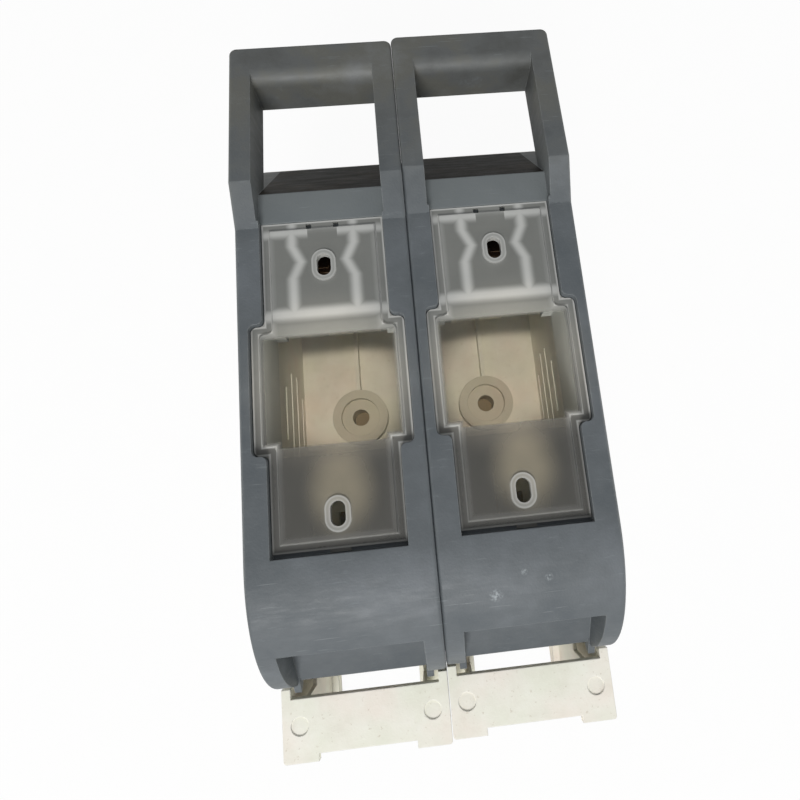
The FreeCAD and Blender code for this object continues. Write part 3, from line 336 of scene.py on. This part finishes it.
# the lines that rolling leaves are finer than 0.1 mm, and are drawn coarser so that they show
roll_width = 0.0006
roll_length = 0.02
stretch = node(tree, "ShaderNodeMapping", {"Vector": place,
                                           "Scale": (1 / roll_length, 1 / roll_width, 1 / roll_width)})
lines = node(tree, "ShaderNodeTexNoise", {"Vector": stretch.outputs["Vector"], "Scale": 1.0, "Detail": 2.0})
dulled = node(tree, "ShaderNodeMapRange", {"Value": lines.outputs["Fac"], "From Min": 0.3, "From Max": 0.7,
                                           "To Min": 0.26, "To Max": 0.44})
scored = node(tree, "ShaderNodeBump", {"Height": lines.outputs["Fac"], "Strength": 0.15, "Distance": 0.0001})
finish(spring_steel, {"Base Color": tone.outputs["Color"], "Metallic": 1.0,
                      "Roughness": dulled.outputs["Result"], "Normal": scored.outputs["Normal"]},
       *[f"{side}_{end}_{piece}" for side in both for end in ("upper", "lower")
         for piece in ("jaw_clips", "fuse_grip")])

# Arc chutes. Two cheeks of vulcanised fibre, red brown with the pressed layers showing at their cut
# edges, hold six splitter plates of mild steel that are copper flashed and browned by past arcs.
fibre, tree, place = new_material("vulcanised_fibre")
# the pressed paper layers are about 0.1 mm thick, and are drawn coarser so that they show
layer_size = 0.0004
mottle_size = 0.004
stretch = node(tree, "ShaderNodeMapping", {"Vector": place,
                                           "Scale": (1 / layer_size, 1 / mottle_size, 1 / mottle_size)})
layers = node(tree, "ShaderNodeTexNoise", {"Vector": stretch.outputs["Vector"], "Scale": 1.0, "Detail": 4.0})
tone = node(tree, "ShaderNodeValToRGB", {"Fac": layers.outputs["Fac"]},
            stops=((0.3, "#55301f"), (0.52, "#6f4430"), (0.72, "#8a5f44")))
pressed = node(tree, "ShaderNodeBump", {"Height": layers.outputs["Fac"], "Strength": 0.2,
                                        "Distance": 0.0002})
finish(fibre, {"Base Color": tone.outputs["Color"], "Roughness": 0.66, "Normal": pressed.outputs["Normal"]},
       *[f"{side}_{end}_chute_sides" for side in both for end in ("upper", "lower")])

plate, tree, place = new_material("copper_flashed_steel_plate")
soot_size = 0.005
soot = node(tree, "ShaderNodeTexNoise", {"Vector": place, "Scale": 1 / soot_size, "Detail": 6.0,
                                         "Roughness": 0.7})
tone = node(tree, "ShaderNodeValToRGB", {"Fac": soot.outputs["Fac"]},
            stops=((0.3, "#8f7159"), (0.5, "#7a6656"), (0.66, "#54483f"), (0.8, "#332c28")))
dulled = node(tree, "ShaderNodeMapRange", {"Value": soot.outputs["Fac"], "From Min": 0.35, "From Max": 0.75,
                                           "To Min": 0.35, "To Max": 0.75})
flaked = node(tree, "ShaderNodeBump", {"Height": soot.outputs["Fac"], "Strength": 0.2, "Distance": 0.0003})
finish(plate, {"Base Color": tone.outputs["Color"], "Metallic": 1.0, "Roughness": dulled.outputs["Result"],
               "Normal": flaked.outputs["Normal"]},
       *[f"{side}_{end}_splitter_plates" for side in both for end in ("upper", "lower")])

# Hinge pins. Ground and hardened steel, pressed through the tongues of the housing and running in blind
# bores of the cover, bright but for the brown of old grease.
pin, tree, place = new_material("ground_steel_pin")
grease_size = 0.003
grease = node(tree, "ShaderNodeTexNoise", {"Vector": place, "Scale": 1 / grease_size, "Detail": 4.0})
tone = node(tree, "ShaderNodeValToRGB", {"Fac": grease.outputs["Fac"]},
            stops=((0.4, "#c3c3c1"), (0.56, "#a9a294"), (0.72, "#6f5e48")))
smeared = node(tree, "ShaderNodeMapRange", {"Value": grease.outputs["Fac"], "From Min": 0.4,
                                            "From Max": 0.7, "To Min": 0.2, "To Max": 0.5})
finish(pin, {"Base Color": tone.outputs["Color"], "Metallic": 1.0, "Roughness": smeared.outputs["Result"]},
       *[f"{side}_hinge_pins" for side in both])


# Covers. Each is one moulding of glass filled polyester from a spark eroded mould, dyed a bluish slate
# grey, painted bluer towards the nose as a tint of bluish light from the low end and neutral towards the
# handle. Edges are paler, partly rubbed and partly a painted highlight, dust lies in the grain, the walls of
# the fuse well are painted pale as painted light, and the sloped wall behind the handle hole is painted a
# near black brown as painted shade.
def unit_coordinates(tree, place, side):
    """Coordinates from the middle of one unit: the vector, then across, along and height."""
    vector = node(tree, "ShaderNodeVectorMath", {0: place, 1: unit_middle(side)},
                  operation="SUBTRACT").outputs["Vector"]
    parts = node(tree, "ShaderNodeSeparateXYZ", {"Vector": vector}).outputs
    return vector, parts["X"], parts["Y"], parts["Z"]


def distance_from(tree, coordinate, line):
    """How far a coordinate lies from a line, to either side of it."""
    past = node(tree, "ShaderNodeMath", {0: coordinate, 1: line}, operation="SUBTRACT")
    return node(tree, "ShaderNodeMath", {0: past.outputs["Value"]}, operation="ABSOLUTE").outputs["Value"]


# places and reaches on a cover, from the middle of its unit
neutral_from = 0.062
neutral_to = 0.152
arm_reach = 0.0298
wall_start = 0.0964
wall_end = 0.140
ledge_line = 0.0882
ledge_reach = 0.0082
ledge_fade = 0.0006
well_reach = 0.0311
well_top = 0.1332
# sizes of the marks, of which the eroded grain is about 0.1 mm and drawn coarser so that it shows
cover_cloud_size = 0.035
cover_grain_size = 0.0011
smear_length = 0.016
smear_width = 0.0028
smear_depth = 0.02
scratch_length = 0.02
scratch_width = 0.0007
cover_edge_radius = 0.0008


def cover_material(side, scuffs):
    """The moulding of one unit's cover, with its painted light and shade and its scuffs in that unit's
    places.
    """
    material, tree, place = new_material(f"{side}_slate_polyester_moulding")
    _, across, along, height = unit_coordinates(tree, place, side)
    cloud = node(tree, "ShaderNodeTexNoise", {"Vector": place, "Scale": 1 / cover_cloud_size, "Detail": 7.0,
                                              "Roughness": 0.62})
    grain = node(tree, "ShaderNodeTexNoise", {"Vector": place, "Scale": 1 / cover_grain_size,
                                              "Detail": 3.0})
    smear_stretch = node(tree, "ShaderNodeMapping", {"Vector": place, "Rotation": (0.0, 0.0, 0.5),
                                                     "Scale": (1 / smear_length, 1 / smear_width,
                                                               1 / smear_depth)})
    smear = node(tree, "ShaderNodeTexNoise", {"Vector": smear_stretch.outputs["Vector"], "Scale": 1.0,
                                              "Detail": 5.0, "Roughness": 0.75})
    # the slate is bluer towards the nose, a painted tint of bluish light from the low end, and turns neutral
    # towards the handle
    slate = node(tree, "ShaderNodeValToRGB", {"Fac": cloud.outputs["Fac"]},
                 stops=((0.3, "#50565a"), (0.5, "#5b6063"), (0.7, "#676c70")))
    neutral_grey = node(tree, "ShaderNodeValToRGB", {"Fac": cloud.outputs["Fac"]},
                   stops=((0.3, "#51524f"), (0.46, "#5f6160"), (0.56, "#63635d"), (0.72, "#707271")))
    towards_handle = node(tree, "ShaderNodeMapRange", {"Value": along, "From Min": neutral_from,
                                                       "From Max": neutral_to},
                          interpolation_type="SMOOTHSTEP")
    tone = node(tree, "ShaderNodeMix", {"Factor": towards_handle.outputs["Result"],
                                        "A": slate.outputs["Color"], "B": neutral_grey.outputs["Color"]},
                data_type="RGBA")
    dust = node(tree, "ShaderNodeMapRange", {"Value": smear.outputs["Fac"], "From Min": 0.60,
                                             "From Max": 0.78, "To Max": 0.5})
    dusty = node(tree, "ShaderNodeMix", {"Factor": dust.outputs["Result"], "A": tone.outputs["Result"],
                                         "B": linear("#858b8e")}, data_type="RGBA")

    # the ledge between the arms is painted paler, painted light where it faces the lamp at the low end, and
    # the wall behind it is painted dark
    off_middle = distance_from(tree, across, 0.0)
    between_arms = node(tree, "ShaderNodeMath", {0: off_middle, 1: arm_reach}, operation="LESS_THAN")
    near_ledge = node(tree, "ShaderNodeMapRange", {"Value": distance_from(tree, along, ledge_line),
                                                   "From Min": ledge_reach + ledge_fade,
                                                   "From Max": ledge_reach - ledge_fade, "To Max": 0.45})
    on_ledge = node(tree, "ShaderNodeMath", {0: near_ledge.outputs["Result"],
                                             1: between_arms.outputs["Value"]}, operation="MULTIPLY")
    ledge_lit = node(tree, "ShaderNodeMix", {"Factor": on_ledge.outputs["Value"],
                                            "A": dusty.outputs["Result"], "B": linear("#868c8c")},
                    data_type="RGBA")
    past_start = node(tree, "ShaderNodeMath", {0: along, 1: wall_start}, operation="GREATER_THAN")
    before_end = node(tree, "ShaderNodeMath", {0: along, 1: wall_end}, operation="LESS_THAN")
    along_wall = node(tree, "ShaderNodeMath", {0: past_start.outputs["Value"],
                                               1: before_end.outputs["Value"]}, operation="MULTIPLY")
    on_wall = node(tree, "ShaderNodeMath", {0: along_wall.outputs["Value"],
                                            1: between_arms.outputs["Value"]}, operation="MULTIPLY")
    # painted shade: the sloped wall behind the handle hole is painted a near black brown, as it lies in the
    # handle's shadow
    wall_shade_tone = node(tree, "ShaderNodeValToRGB", {"Fac": cloud.outputs["Fac"]},
                 stops=((0.3, "#1b1a17"), (0.5, "#26211b"), (0.62, "#332b20"), (0.75, "#262621")))
    wall_shaded = node(tree, "ShaderNodeMix", {"Factor": on_wall.outputs["Value"],
                                           "A": ledge_lit.outputs["Result"], "B": wall_shade_tone.outputs["Color"]},
                   data_type="RGBA")

    # the inner walls of the fuse well are painted pale: painted light where the lamps barely reach them
    from_well = node(tree, "ShaderNodeMath", {0: distance_from(tree, along, 0.0), 1: off_middle},
                     operation="MAXIMUM")
    within_well = node(tree, "ShaderNodeMath", {0: from_well.outputs["Value"], 1: well_reach},
                       operation="LESS_THAN")
    under_plate = node(tree, "ShaderNodeMath", {0: height, 1: well_top}, operation="LESS_THAN")
    in_well = node(tree, "ShaderNodeMath", {0: within_well.outputs["Value"],
                                            1: under_plate.outputs["Value"]}, operation="MULTIPLY")
    well_lit = node(tree, "ShaderNodeMix", {"Factor": in_well.outputs["Value"],
                                           "A": wall_shaded.outputs["Result"], "B": linear("#bfc0b8")},
                   data_type="RGBA")

    # edges painted paler, partly rubbed and partly a painted highlight, hairline scratches, and the unit's
    # own scuffs
    rounded, edge = rounded_edges(tree, cover_edge_radius)
    broken = node(tree, "ShaderNodeMapRange", {"Value": smear.outputs["Fac"], "From Min": 0.35,
                                               "From Max": 0.65, "To Min": 0.12, "To Max": 0.75})
    wear_and_highlight_share = node(tree, "ShaderNodeMath", {0: edge, 1: broken.outputs["Result"]}, operation="MULTIPLY")
    edge_wear_and_highlight = node(tree, "ShaderNodeMix", {"Factor": wear_and_highlight_share.outputs["Value"], "A": well_lit.outputs["Result"],
                                          "B": linear("#989c9c")}, data_type="RGBA")
    scratch_stretch = node(tree, "ShaderNodeMapping", {"Vector": place, "Rotation": (0.0, 0.0, 0.7),
                                                       "Scale": (1 / scratch_length, 1 / scratch_width,
                                                                 1 / scratch_length)})
    scratch = node(tree, "ShaderNodeTexNoise", {"Vector": scratch_stretch.outputs["Vector"], "Scale": 1.0,
                                                "Detail": 2.0})
    hairline = node(tree, "ShaderNodeMapRange", {"Value": scratch.outputs["Fac"], "From Min": 0.70,
                                                 "From Max": 0.75, "To Max": 0.3})
    marked = node(tree, "ShaderNodeMix", {"Factor": hairline.outputs["Result"],
                                          "A": edge_wear_and_highlight.outputs["Result"], "B": linear("#989e9f")},
                  data_type="RGBA")
    broken_scuff = node(tree, "ShaderNodeMapRange", {"Value": grain.outputs["Fac"], "From Min": 0.42,
                                                     "From Max": 0.62, "To Max": 0.55})
    for spot, size in scuffs:
        away = node(tree, "ShaderNodeVectorMath", {0: place, 1: spot}, operation="DISTANCE")
        near_spot = node(tree, "ShaderNodeMapRange", {"Value": away.outputs["Value"], "From Min": size,
                                                      "From Max": size / 3})
        share = node(tree, "ShaderNodeMath", {0: near_spot.outputs["Result"],
                                              1: broken_scuff.outputs["Result"]}, operation="MULTIPLY")
        marked = node(tree, "ShaderNodeMix", {"Factor": share.outputs["Value"],
                                              "A": marked.outputs["Result"], "B": linear("#b4bbbd")},
                      data_type="RGBA")

    eroded = node(tree, "ShaderNodeBump", {"Height": grain.outputs["Fac"], "Strength": 0.35,
                                           "Distance": 0.0003, "Normal": rounded})
    sheen = node(tree, "ShaderNodeMapRange", {"Value": smear.outputs["Fac"], "From Min": 0.35,
                                              "From Max": 0.7, "To Min": 0.5, "To Max": 0.68})
    # the painted shade on the sloped wall also loses its gloss, so that it stays dark
    gloss = node(tree, "ShaderNodeMapRange", {"Value": on_wall.outputs["Value"], "To Min": 0.5,
                                              "To Max": 0.12})
    finish(material, {"Base Color": marked.outputs["Result"], "Roughness": sheen.outputs["Result"],
                      "Specular IOR Level": gloss.outputs["Result"], "Normal": eroded.outputs["Normal"]},
           f"{side}_cover_shell")


# the right nose has three scuffs from knocks, each with its place and its radius, and the left one none
knocks = [((0.0238, -0.1005, 0.1365), 0.0034), ((0.0366, -0.0918, 0.1396), 0.0017),
          ((0.0471, -0.0951, 0.1386), 0.0020)]
cover_material("left", [])
cover_material("right", knocks)

# Windows. Injection moulded polycarbonate snapped into the cover's recess: etched to a frost at both
# ends, polished over the fuse, milky where ribs and the raised rim make it thick, with a painted glow along
# the ribs, a painted highlight along the rim and a painted warm glow of the bay over the contact opening,
# and with a hard bright lip round each of the two test slots.

# places on a sheet, from the middle of its unit: the raised panel is a long box and a wide one, each
# with its half width, its half length and its middle along the unit
panel_boxes = ((0.0253, 0.07225, 0.00425), (0.0317, 0.026, 0.0))
rim_inward = 0.006
rim_outward = 0.004
rim_fade_from = -0.024
rim_fade_to = -0.036
# ribs behind the upper panel: two waisted uprights, a cross bar and a head rib at each side of the tab
waist_along = 0.0593
waist_reach = 0.008
waist_across = 0.0106
upright_across = 0.0145
cross_along = 0.034
head_along = 0.0745
tab_reach = 0.007
# each test slot is a straight stretch with round ends, and its lip lies round it
slot_along = 0.057
slot_straight = 0.0021
lip_start = 0.003
lip_end = 0.008
# the lower panel darkens over a stretch, and the painted glow of the lit bay behind it is an oval
darker_from = 0.01
darker_to = -0.03
glow_middle = (0.002, -0.047, 0.0)
glow_stretch = (1.0, 0.8, 0.0)
glow_core = 0.004
glow_reach = 0.019
# the etched grain is finer than 0.1 mm, and is drawn coarser so that it shows
etch_size = 0.0009
haze_size = 0.018


def window_material(side):
    """The sheet of one unit's window, drawn from distances to its own outline, ribs and slots."""
    material, tree, place = new_material(f"{side}_etched_polycarbonate")
    unit, signed_across, along, _ = unit_coordinates(tree, place, side)
    across = distance_from(tree, signed_across, 0.0)

    # how far outside the raised panel's outline a point lies, and how pale its rim is there: milky where
    # thick, with bright lines that are a painted highlight of the rounded rim, fading towards the lower end
    outsides = []
    for half_width, half_length, box_middle in panel_boxes:
        beside = node(tree, "ShaderNodeMath", {0: across, 1: half_width}, operation="SUBTRACT")
        beyond = node(tree, "ShaderNodeMath", {0: distance_from(tree, along, box_middle), 1: half_length},
                      operation="SUBTRACT")
        outsides.append(node(tree, "ShaderNodeMath", {0: beside.outputs["Value"],
                                                      1: beyond.outputs["Value"]},
                             operation="MAXIMUM").outputs["Value"])
    outside = node(tree, "ShaderNodeMath", {0: outsides[0], 1: outsides[1]},
                   operation="MINIMUM").outputs["Value"]
    from_rim = node(tree, "ShaderNodeMapRange", {"Value": outside, "From Min": -rim_inward,
                                                 "From Max": rim_outward})
    rim = node(tree, "ShaderNodeValToRGB", {"Fac": from_rim.outputs["Result"]},
               stops=((0.0, "#000000"), (0.30, "#343434"), (0.54, "#a8a8a8"), (0.60, "#f8f8f8"),
                      (0.65, "#848484"), (0.84, "#6c6c6c"), (0.91, "#fcfcfc"), (1.0, "#a0a0a0")))
    rim_fade = node(tree, "ShaderNodeMapRange", {"Value": along, "From Min": rim_fade_from, "From Max": rim_fade_to,
                                                 "To Min": 1.0, "To Max": 0.5})
    rim_milk_and_highlight = node(tree, "ShaderNodeMath", {0: rim.outputs["Color"], 1: rim_fade.outputs["Result"]},
                    operation="MULTIPLY")

    # each rib is paler, milky where thick and with a painted glow of light through it, fading from its half
    # width out to its reach
    upright = node(tree, "ShaderNodeMapRange", {"Value": distance_from(tree, along, waist_along),
                                                "From Max": waist_reach, "To Min": waist_across,
                                                "To Max": upright_across})
    rib_milk_and_glow = []
    for distance, half_width, reach in (
            (distance_from(tree, across, upright.outputs["Result"]), 0.0003, 0.0042),
            (distance_from(tree, along, cross_along), 0.0006, 0.0048),
            (distance_from(tree, along, head_along), 0.0003, 0.0042)):
        rib_milk_and_glow.append(node(tree, "ShaderNodeMapRange", {"Value": distance, "From Min": reach,
                                                           "From Max": half_width, "To Max": 0.86},
                              interpolation_type="SMOOTHSTEP").outputs["Result"])
    above_cross = node(tree, "ShaderNodeMath", {0: along, 1: cross_along - 0.001}, operation="GREATER_THAN")
    beside_tab = node(tree, "ShaderNodeMath", {0: across, 1: tab_reach}, operation="GREATER_THAN")
    uprights = node(tree, "ShaderNodeMath", {0: rib_milk_and_glow[0], 1: above_cross.outputs["Value"]},
                    operation="MULTIPLY")
    heads = node(tree, "ShaderNodeMath", {0: rib_milk_and_glow[2], 1: beside_tab.outputs["Value"]},
                 operation="MULTIPLY")
    crossed = node(tree, "ShaderNodeMath", {0: uprights.outputs["Value"], 1: rib_milk_and_glow[1]},
                      operation="MAXIMUM")
    ribs = node(tree, "ShaderNodeMath", {0: crossed.outputs["Value"], 1: heads.outputs["Value"]},
                operation="MAXIMUM")

    # lips of the two slots, by the distance from the straight middle of each slot
    slot_side = distance_from(tree, distance_from(tree, along, 0.0), slot_along)
    past_straight = node(tree, "ShaderNodeMath", {0: slot_side, 1: slot_straight}, operation="SUBTRACT")
    round_end = node(tree, "ShaderNodeMath", {0: past_straight.outputs["Value"], 1: 0.0},
                     operation="MAXIMUM")
    spoke = node(tree, "ShaderNodeCombineXYZ", {"X": across, "Y": round_end.outputs["Value"]})
    slot_reach = node(tree, "ShaderNodeVectorMath", {0: spoke.outputs["Vector"]}, operation="LENGTH")
    from_lip = node(tree, "ShaderNodeMapRange", {"Value": slot_reach.outputs["Value"],
                                                 "From Min": lip_start, "From Max": lip_end})
    lip = node(tree, "ShaderNodeValToRGB", {"Fac": from_lip.outputs["Result"]},
               stops=((0.0, "#ffffff"), (0.12, "#d0d0d0"), (0.3, "#a8a8a8"), (0.48, "#e4e4e4"),
                      (0.6, "#4a4a4a"), (1.0, "#000000")))
    rib_and_rim_paleness = node(tree, "ShaderNodeMath", {0: ribs.outputs["Value"], 1: rim_milk_and_highlight.outputs["Value"]},
                operation="MAXIMUM")
    milk_and_highlights = node(tree, "ShaderNodeMath", {0: rib_and_rim_paleness.outputs["Value"], 1: lip.outputs["Color"]},
                 operation="MAXIMUM").outputs["Value"]

    # the clear pane, with a soft edge at its head, at its foot and inside the rim
    clear = 1.0
    for coordinate, frosted_at, clear_at in ((along, 0.0246, 0.0222), (along, -0.0274, -0.0266),
                                             (outside, -0.0004, -0.0022)):
        pane_edge = node(tree, "ShaderNodeMapRange", {"Value": coordinate, "From Min": frosted_at,
                                                      "From Max": clear_at}, interpolation_type="SMOOTHSTEP")
        clear = node(tree, "ShaderNodeMath", {0: clear, 1: pane_edge.outputs["Result"]},
                     operation="MULTIPLY").outputs["Value"]

    # the lower panel is darker than the upper one and is painted with a warm glow over the opening for the
    # contact, standing for the lit cream bay seen through the frost
    lower = node(tree, "ShaderNodeMapRange", {"Value": along, "From Min": darker_from,
                                              "From Max": darker_to})
    frost = node(tree, "ShaderNodeMix", {"Factor": lower.outputs["Result"], "A": linear("#8c8d88"),
                                         "B": linear("#5e5c56")}, data_type="RGBA")
    from_glow = node(tree, "ShaderNodeVectorMath", {0: unit, 1: glow_middle}, operation="SUBTRACT")
    oval = node(tree, "ShaderNodeVectorMath", {0: from_glow.outputs["Vector"], 1: glow_stretch},
                operation="MULTIPLY")
    off_glow = node(tree, "ShaderNodeVectorMath", {0: oval.outputs["Vector"]}, operation="LENGTH")
    glow = node(tree, "ShaderNodeMapRange", {"Value": off_glow.outputs["Value"], "From Min": glow_reach,
                                             "From Max": glow_core, "To Max": 0.75},
                interpolation_type="SMOOTHSTEP")
    painted_glow_frost = node(tree, "ShaderNodeMix", {"Factor": glow.outputs["Result"], "A": frost.outputs["Result"],
                                        "B": linear("#aea48d")}, data_type="RGBA")
    whitened = node(tree, "ShaderNodeMix", {"Factor": milk_and_highlights, "A": painted_glow_frost.outputs["Result"],
                                            "B": linear("#cacac6")}, data_type="RGBA")

    # how much the sheet hides: the frost with its milk, and the pane with its faint haze
    haze = node(tree, "ShaderNodeTexNoise", {"Vector": place, "Scale": 1 / haze_size, "Detail": 5.0})
    frosted = node(tree, "ShaderNodeMapRange", {"Value": haze.outputs["Fac"], "From Min": 0.3,
                                                "From Max": 0.7, "To Min": 0.57, "To Max": 0.66})
    thick = node(tree, "ShaderNodeMath", {0: milk_and_highlights, 1: 0.32, 2: frosted.outputs["Result"]},
                 operation="MULTIPLY_ADD")
    hazy = node(tree, "ShaderNodeMapRange", {"Value": haze.outputs["Fac"], "From Min": 0.4,
                                             "From Max": 0.7, "To Min": 0.03, "To Max": 0.07})
    milky_pane = node(tree, "ShaderNodeMath", {0: milk_and_highlights, 1: 0.5, 2: hazy.outputs["Result"]},
                      operation="MULTIPLY_ADD")
    opacity = node(tree, "ShaderNodeMix", {"Factor": clear, "A": thick.outputs["Value"],
                                           "B": milky_pane.outputs["Value"]})
    shine = node(tree, "ShaderNodeMapRange", {"Value": clear, "To Min": 0.42, "To Max": 0.06})
    etch = node(tree, "ShaderNodeTexNoise", {"Vector": place, "Scale": 1 / etch_size, "Detail": 3.0})
    etched = node(tree, "ShaderNodeBump", {"Height": etch.outputs["Fac"], "Strength": 0.08,
                                           "Distance": 0.0002})
    finish(material, {"Base Color": whitened.outputs["Result"], "Roughness": shine.outputs["Result"],
                      "Alpha": opacity.outputs["Result"], "IOR": 1.58,
                      "Normal": etched.outputs["Normal"]}, f"{side}_window")


for side in both:
    window_material(side)

# The floor is a matt white board, painted brown as a painted shadow where the pair covers it, as far in as
# the cable bays at both ends. The camera sees the white lifted to clean white, and the object's faint shadow
# stays on it.
half_board = 3.0
board_top = -0.0002
covered_across = 0.0815
covered_low = -0.150
covered_high = 0.1215
paper_size = 0.02
floor_mesh = bpy.data.meshes.new("floor")
floor_mesh.from_pydata([(-half_board, -half_board, 0), (half_board, -half_board, 0),
                        (half_board, half_board, 0), (-half_board, half_board, 0)], [], [(0, 1, 2, 3)])
floor = bpy.data.objects.new("floor", floor_mesh)
floor.location.z = board_top
scene.collection.objects.link(floor)
board, tree, place = new_material("matt_white_board")
paper_noise = node(tree, "ShaderNodeTexNoise", {"Vector": place, "Scale": 1 / paper_size, "Detail": 4.0})
paper = node(tree, "ShaderNodeValToRGB", {"Fac": paper_noise.outputs["Fac"]},
             stops=((0.3, "#e4e4e2"), (0.7, "#ebebe9")))
parts = node(tree, "ShaderNodeSeparateXYZ", {"Vector": place}).outputs
beside = node(tree, "ShaderNodeMath", {0: distance_from(tree, parts["X"], 0.0), 1: covered_across},
              operation="GREATER_THAN")
behind = node(tree, "ShaderNodeMath", {0: parts["Y"], 1: covered_high}, operation="GREATER_THAN")
before = node(tree, "ShaderNodeMath", {0: parts["Y"], 1: covered_low}, operation="LESS_THAN")
ends = node(tree, "ShaderNodeMath", {0: behind.outputs["Value"], 1: before.outputs["Value"]},
            operation="MAXIMUM")
open_floor = node(tree, "ShaderNodeMath", {0: beside.outputs["Value"], 1: ends.outputs["Value"]},
                  operation="MAXIMUM")
# painted shadow: the board is brown under the pair, where it lies in the dark
paper_and_painted_shadow = node(tree, "ShaderNodeMix", {"Factor": open_floor.outputs["Value"], "A": linear("#94856a"),
                                     "B": paper.outputs["Color"]}, data_type="RGBA")
matt = node(tree, "ShaderNodeBsdfPrincipled", {"Base Color": paper_and_painted_shadow.outputs["Result"], "Roughness": 0.85})
white = node(tree, "ShaderNodeEmission", {"Color": (1.0, 1.0, 1.0, 1.0), "Strength": 1.0})
seen = node(tree, "ShaderNodeLightPath")
seen_floor = node(tree, "ShaderNodeMath", {0: seen.outputs["Is Camera Ray"],
                                           1: open_floor.outputs["Value"]}, operation="MULTIPLY")
lift = node(tree, "ShaderNodeMath", {0: seen_floor.outputs["Value"], 1: 0.94}, operation="MULTIPLY")
lifted = node(tree, "ShaderNodeMixShader", {"Fac": lift.outputs["Value"], 1: matt.outputs["BSDF"],
                                            2: white.outputs["Emission"]})
node(tree, "ShaderNodeOutputMaterial", {"Surface": lifted.outputs["Shader"]})
floor_mesh.materials.append(board)

# The room is dim and even, and white only where the camera looks past the board.
world = bpy.data.worlds.new("studio")
world.use_nodes = True
tree = world.node_tree
tree.nodes.clear()
room = node(tree, "ShaderNodeBackground", {"Color": linear("#e9edf2"), "Strength": 0.385})
bright = node(tree, "ShaderNodeBackground", {"Color": (1.0, 1.0, 1.0, 1.0), "Strength": 1.0})
seen = node(tree, "ShaderNodeLightPath")
mixed = node(tree, "ShaderNodeMixShader", {"Fac": seen.outputs["Is Camera Ray"],
                                           1: room.outputs["Background"], 2: bright.outputs["Background"]})
node(tree, "ShaderNodeOutputWorld", {"Surface": mixed.outputs["Shader"]})
scene.world = world

# The light comes from a soft lamp beyond the low ends, a little to the left, and from a weak and low one
# at each side. Two narrow lamps high over the middle of the pair shine through the clear panes, since
# the bays behind them would otherwise be lost in the dark.
narrow = {"spot_size": math.radians(8.6), "spot_blend": 0.3, "shadow_soft_size": 0.012}
lamps = [("key_light", "AREA", (-0.35, -1.74, 1.66), (0.0, 0.0, 0.06), "#ffffff", 39.0, {"size": 0.8})]
for side, outward in (("left", -1), ("right", 1)):
    lamps.append((f"{side}_side_light", "AREA", (outward * 0.90, -0.10, 0.27), (outward * 0.04, 0.0, 0.045),
                  "#fbf8f0", 3.0, {"size": 0.4}))
    lamps.append((f"{side}_bay_light", "SPOT", (0.0, -0.06, 0.60), (outward * 0.041, -0.001, 0.139),
                  "#fff3df", 5.6, narrow))
for name, kind, position, target, tint, power, settings in lamps:
    lamp = bpy.data.lights.new(name, kind)
    lamp.energy = power
    lamp.color = linear(tint)[:3]
    for setting, value in settings.items():
        setattr(lamp, setting, value)
    holder = bpy.data.objects.new(name, lamp)
    holder.location = position
    holder.rotation_euler = (Vector(target) - Vector(position)).to_track_quat("-Z", "Y").to_euler()
    scene.collection.objects.link(holder)

# The camera stands above the low ends, a little turned, as the photographer did, and the picture is
# cropped off centre.
camera_data = bpy.data.cameras.new("camera")
camera_data.lens = 28.11
camera_data.sensor_width = 36.0
camera_data.shift_x = -0.0745
camera_data.shift_y = -0.0590
camera_data.clip_start = 0.01
camera = bpy.data.objects.new("camera", camera_data)
camera.location = (0.00054, -0.05713, 0.41905)
camera.rotation_euler = [math.radians(angle) for angle in (13.055, -2.410, -5.839)]
scene.collection.objects.link(camera)
scene.camera = camera
scene.view_settings.view_transform = "Standard"
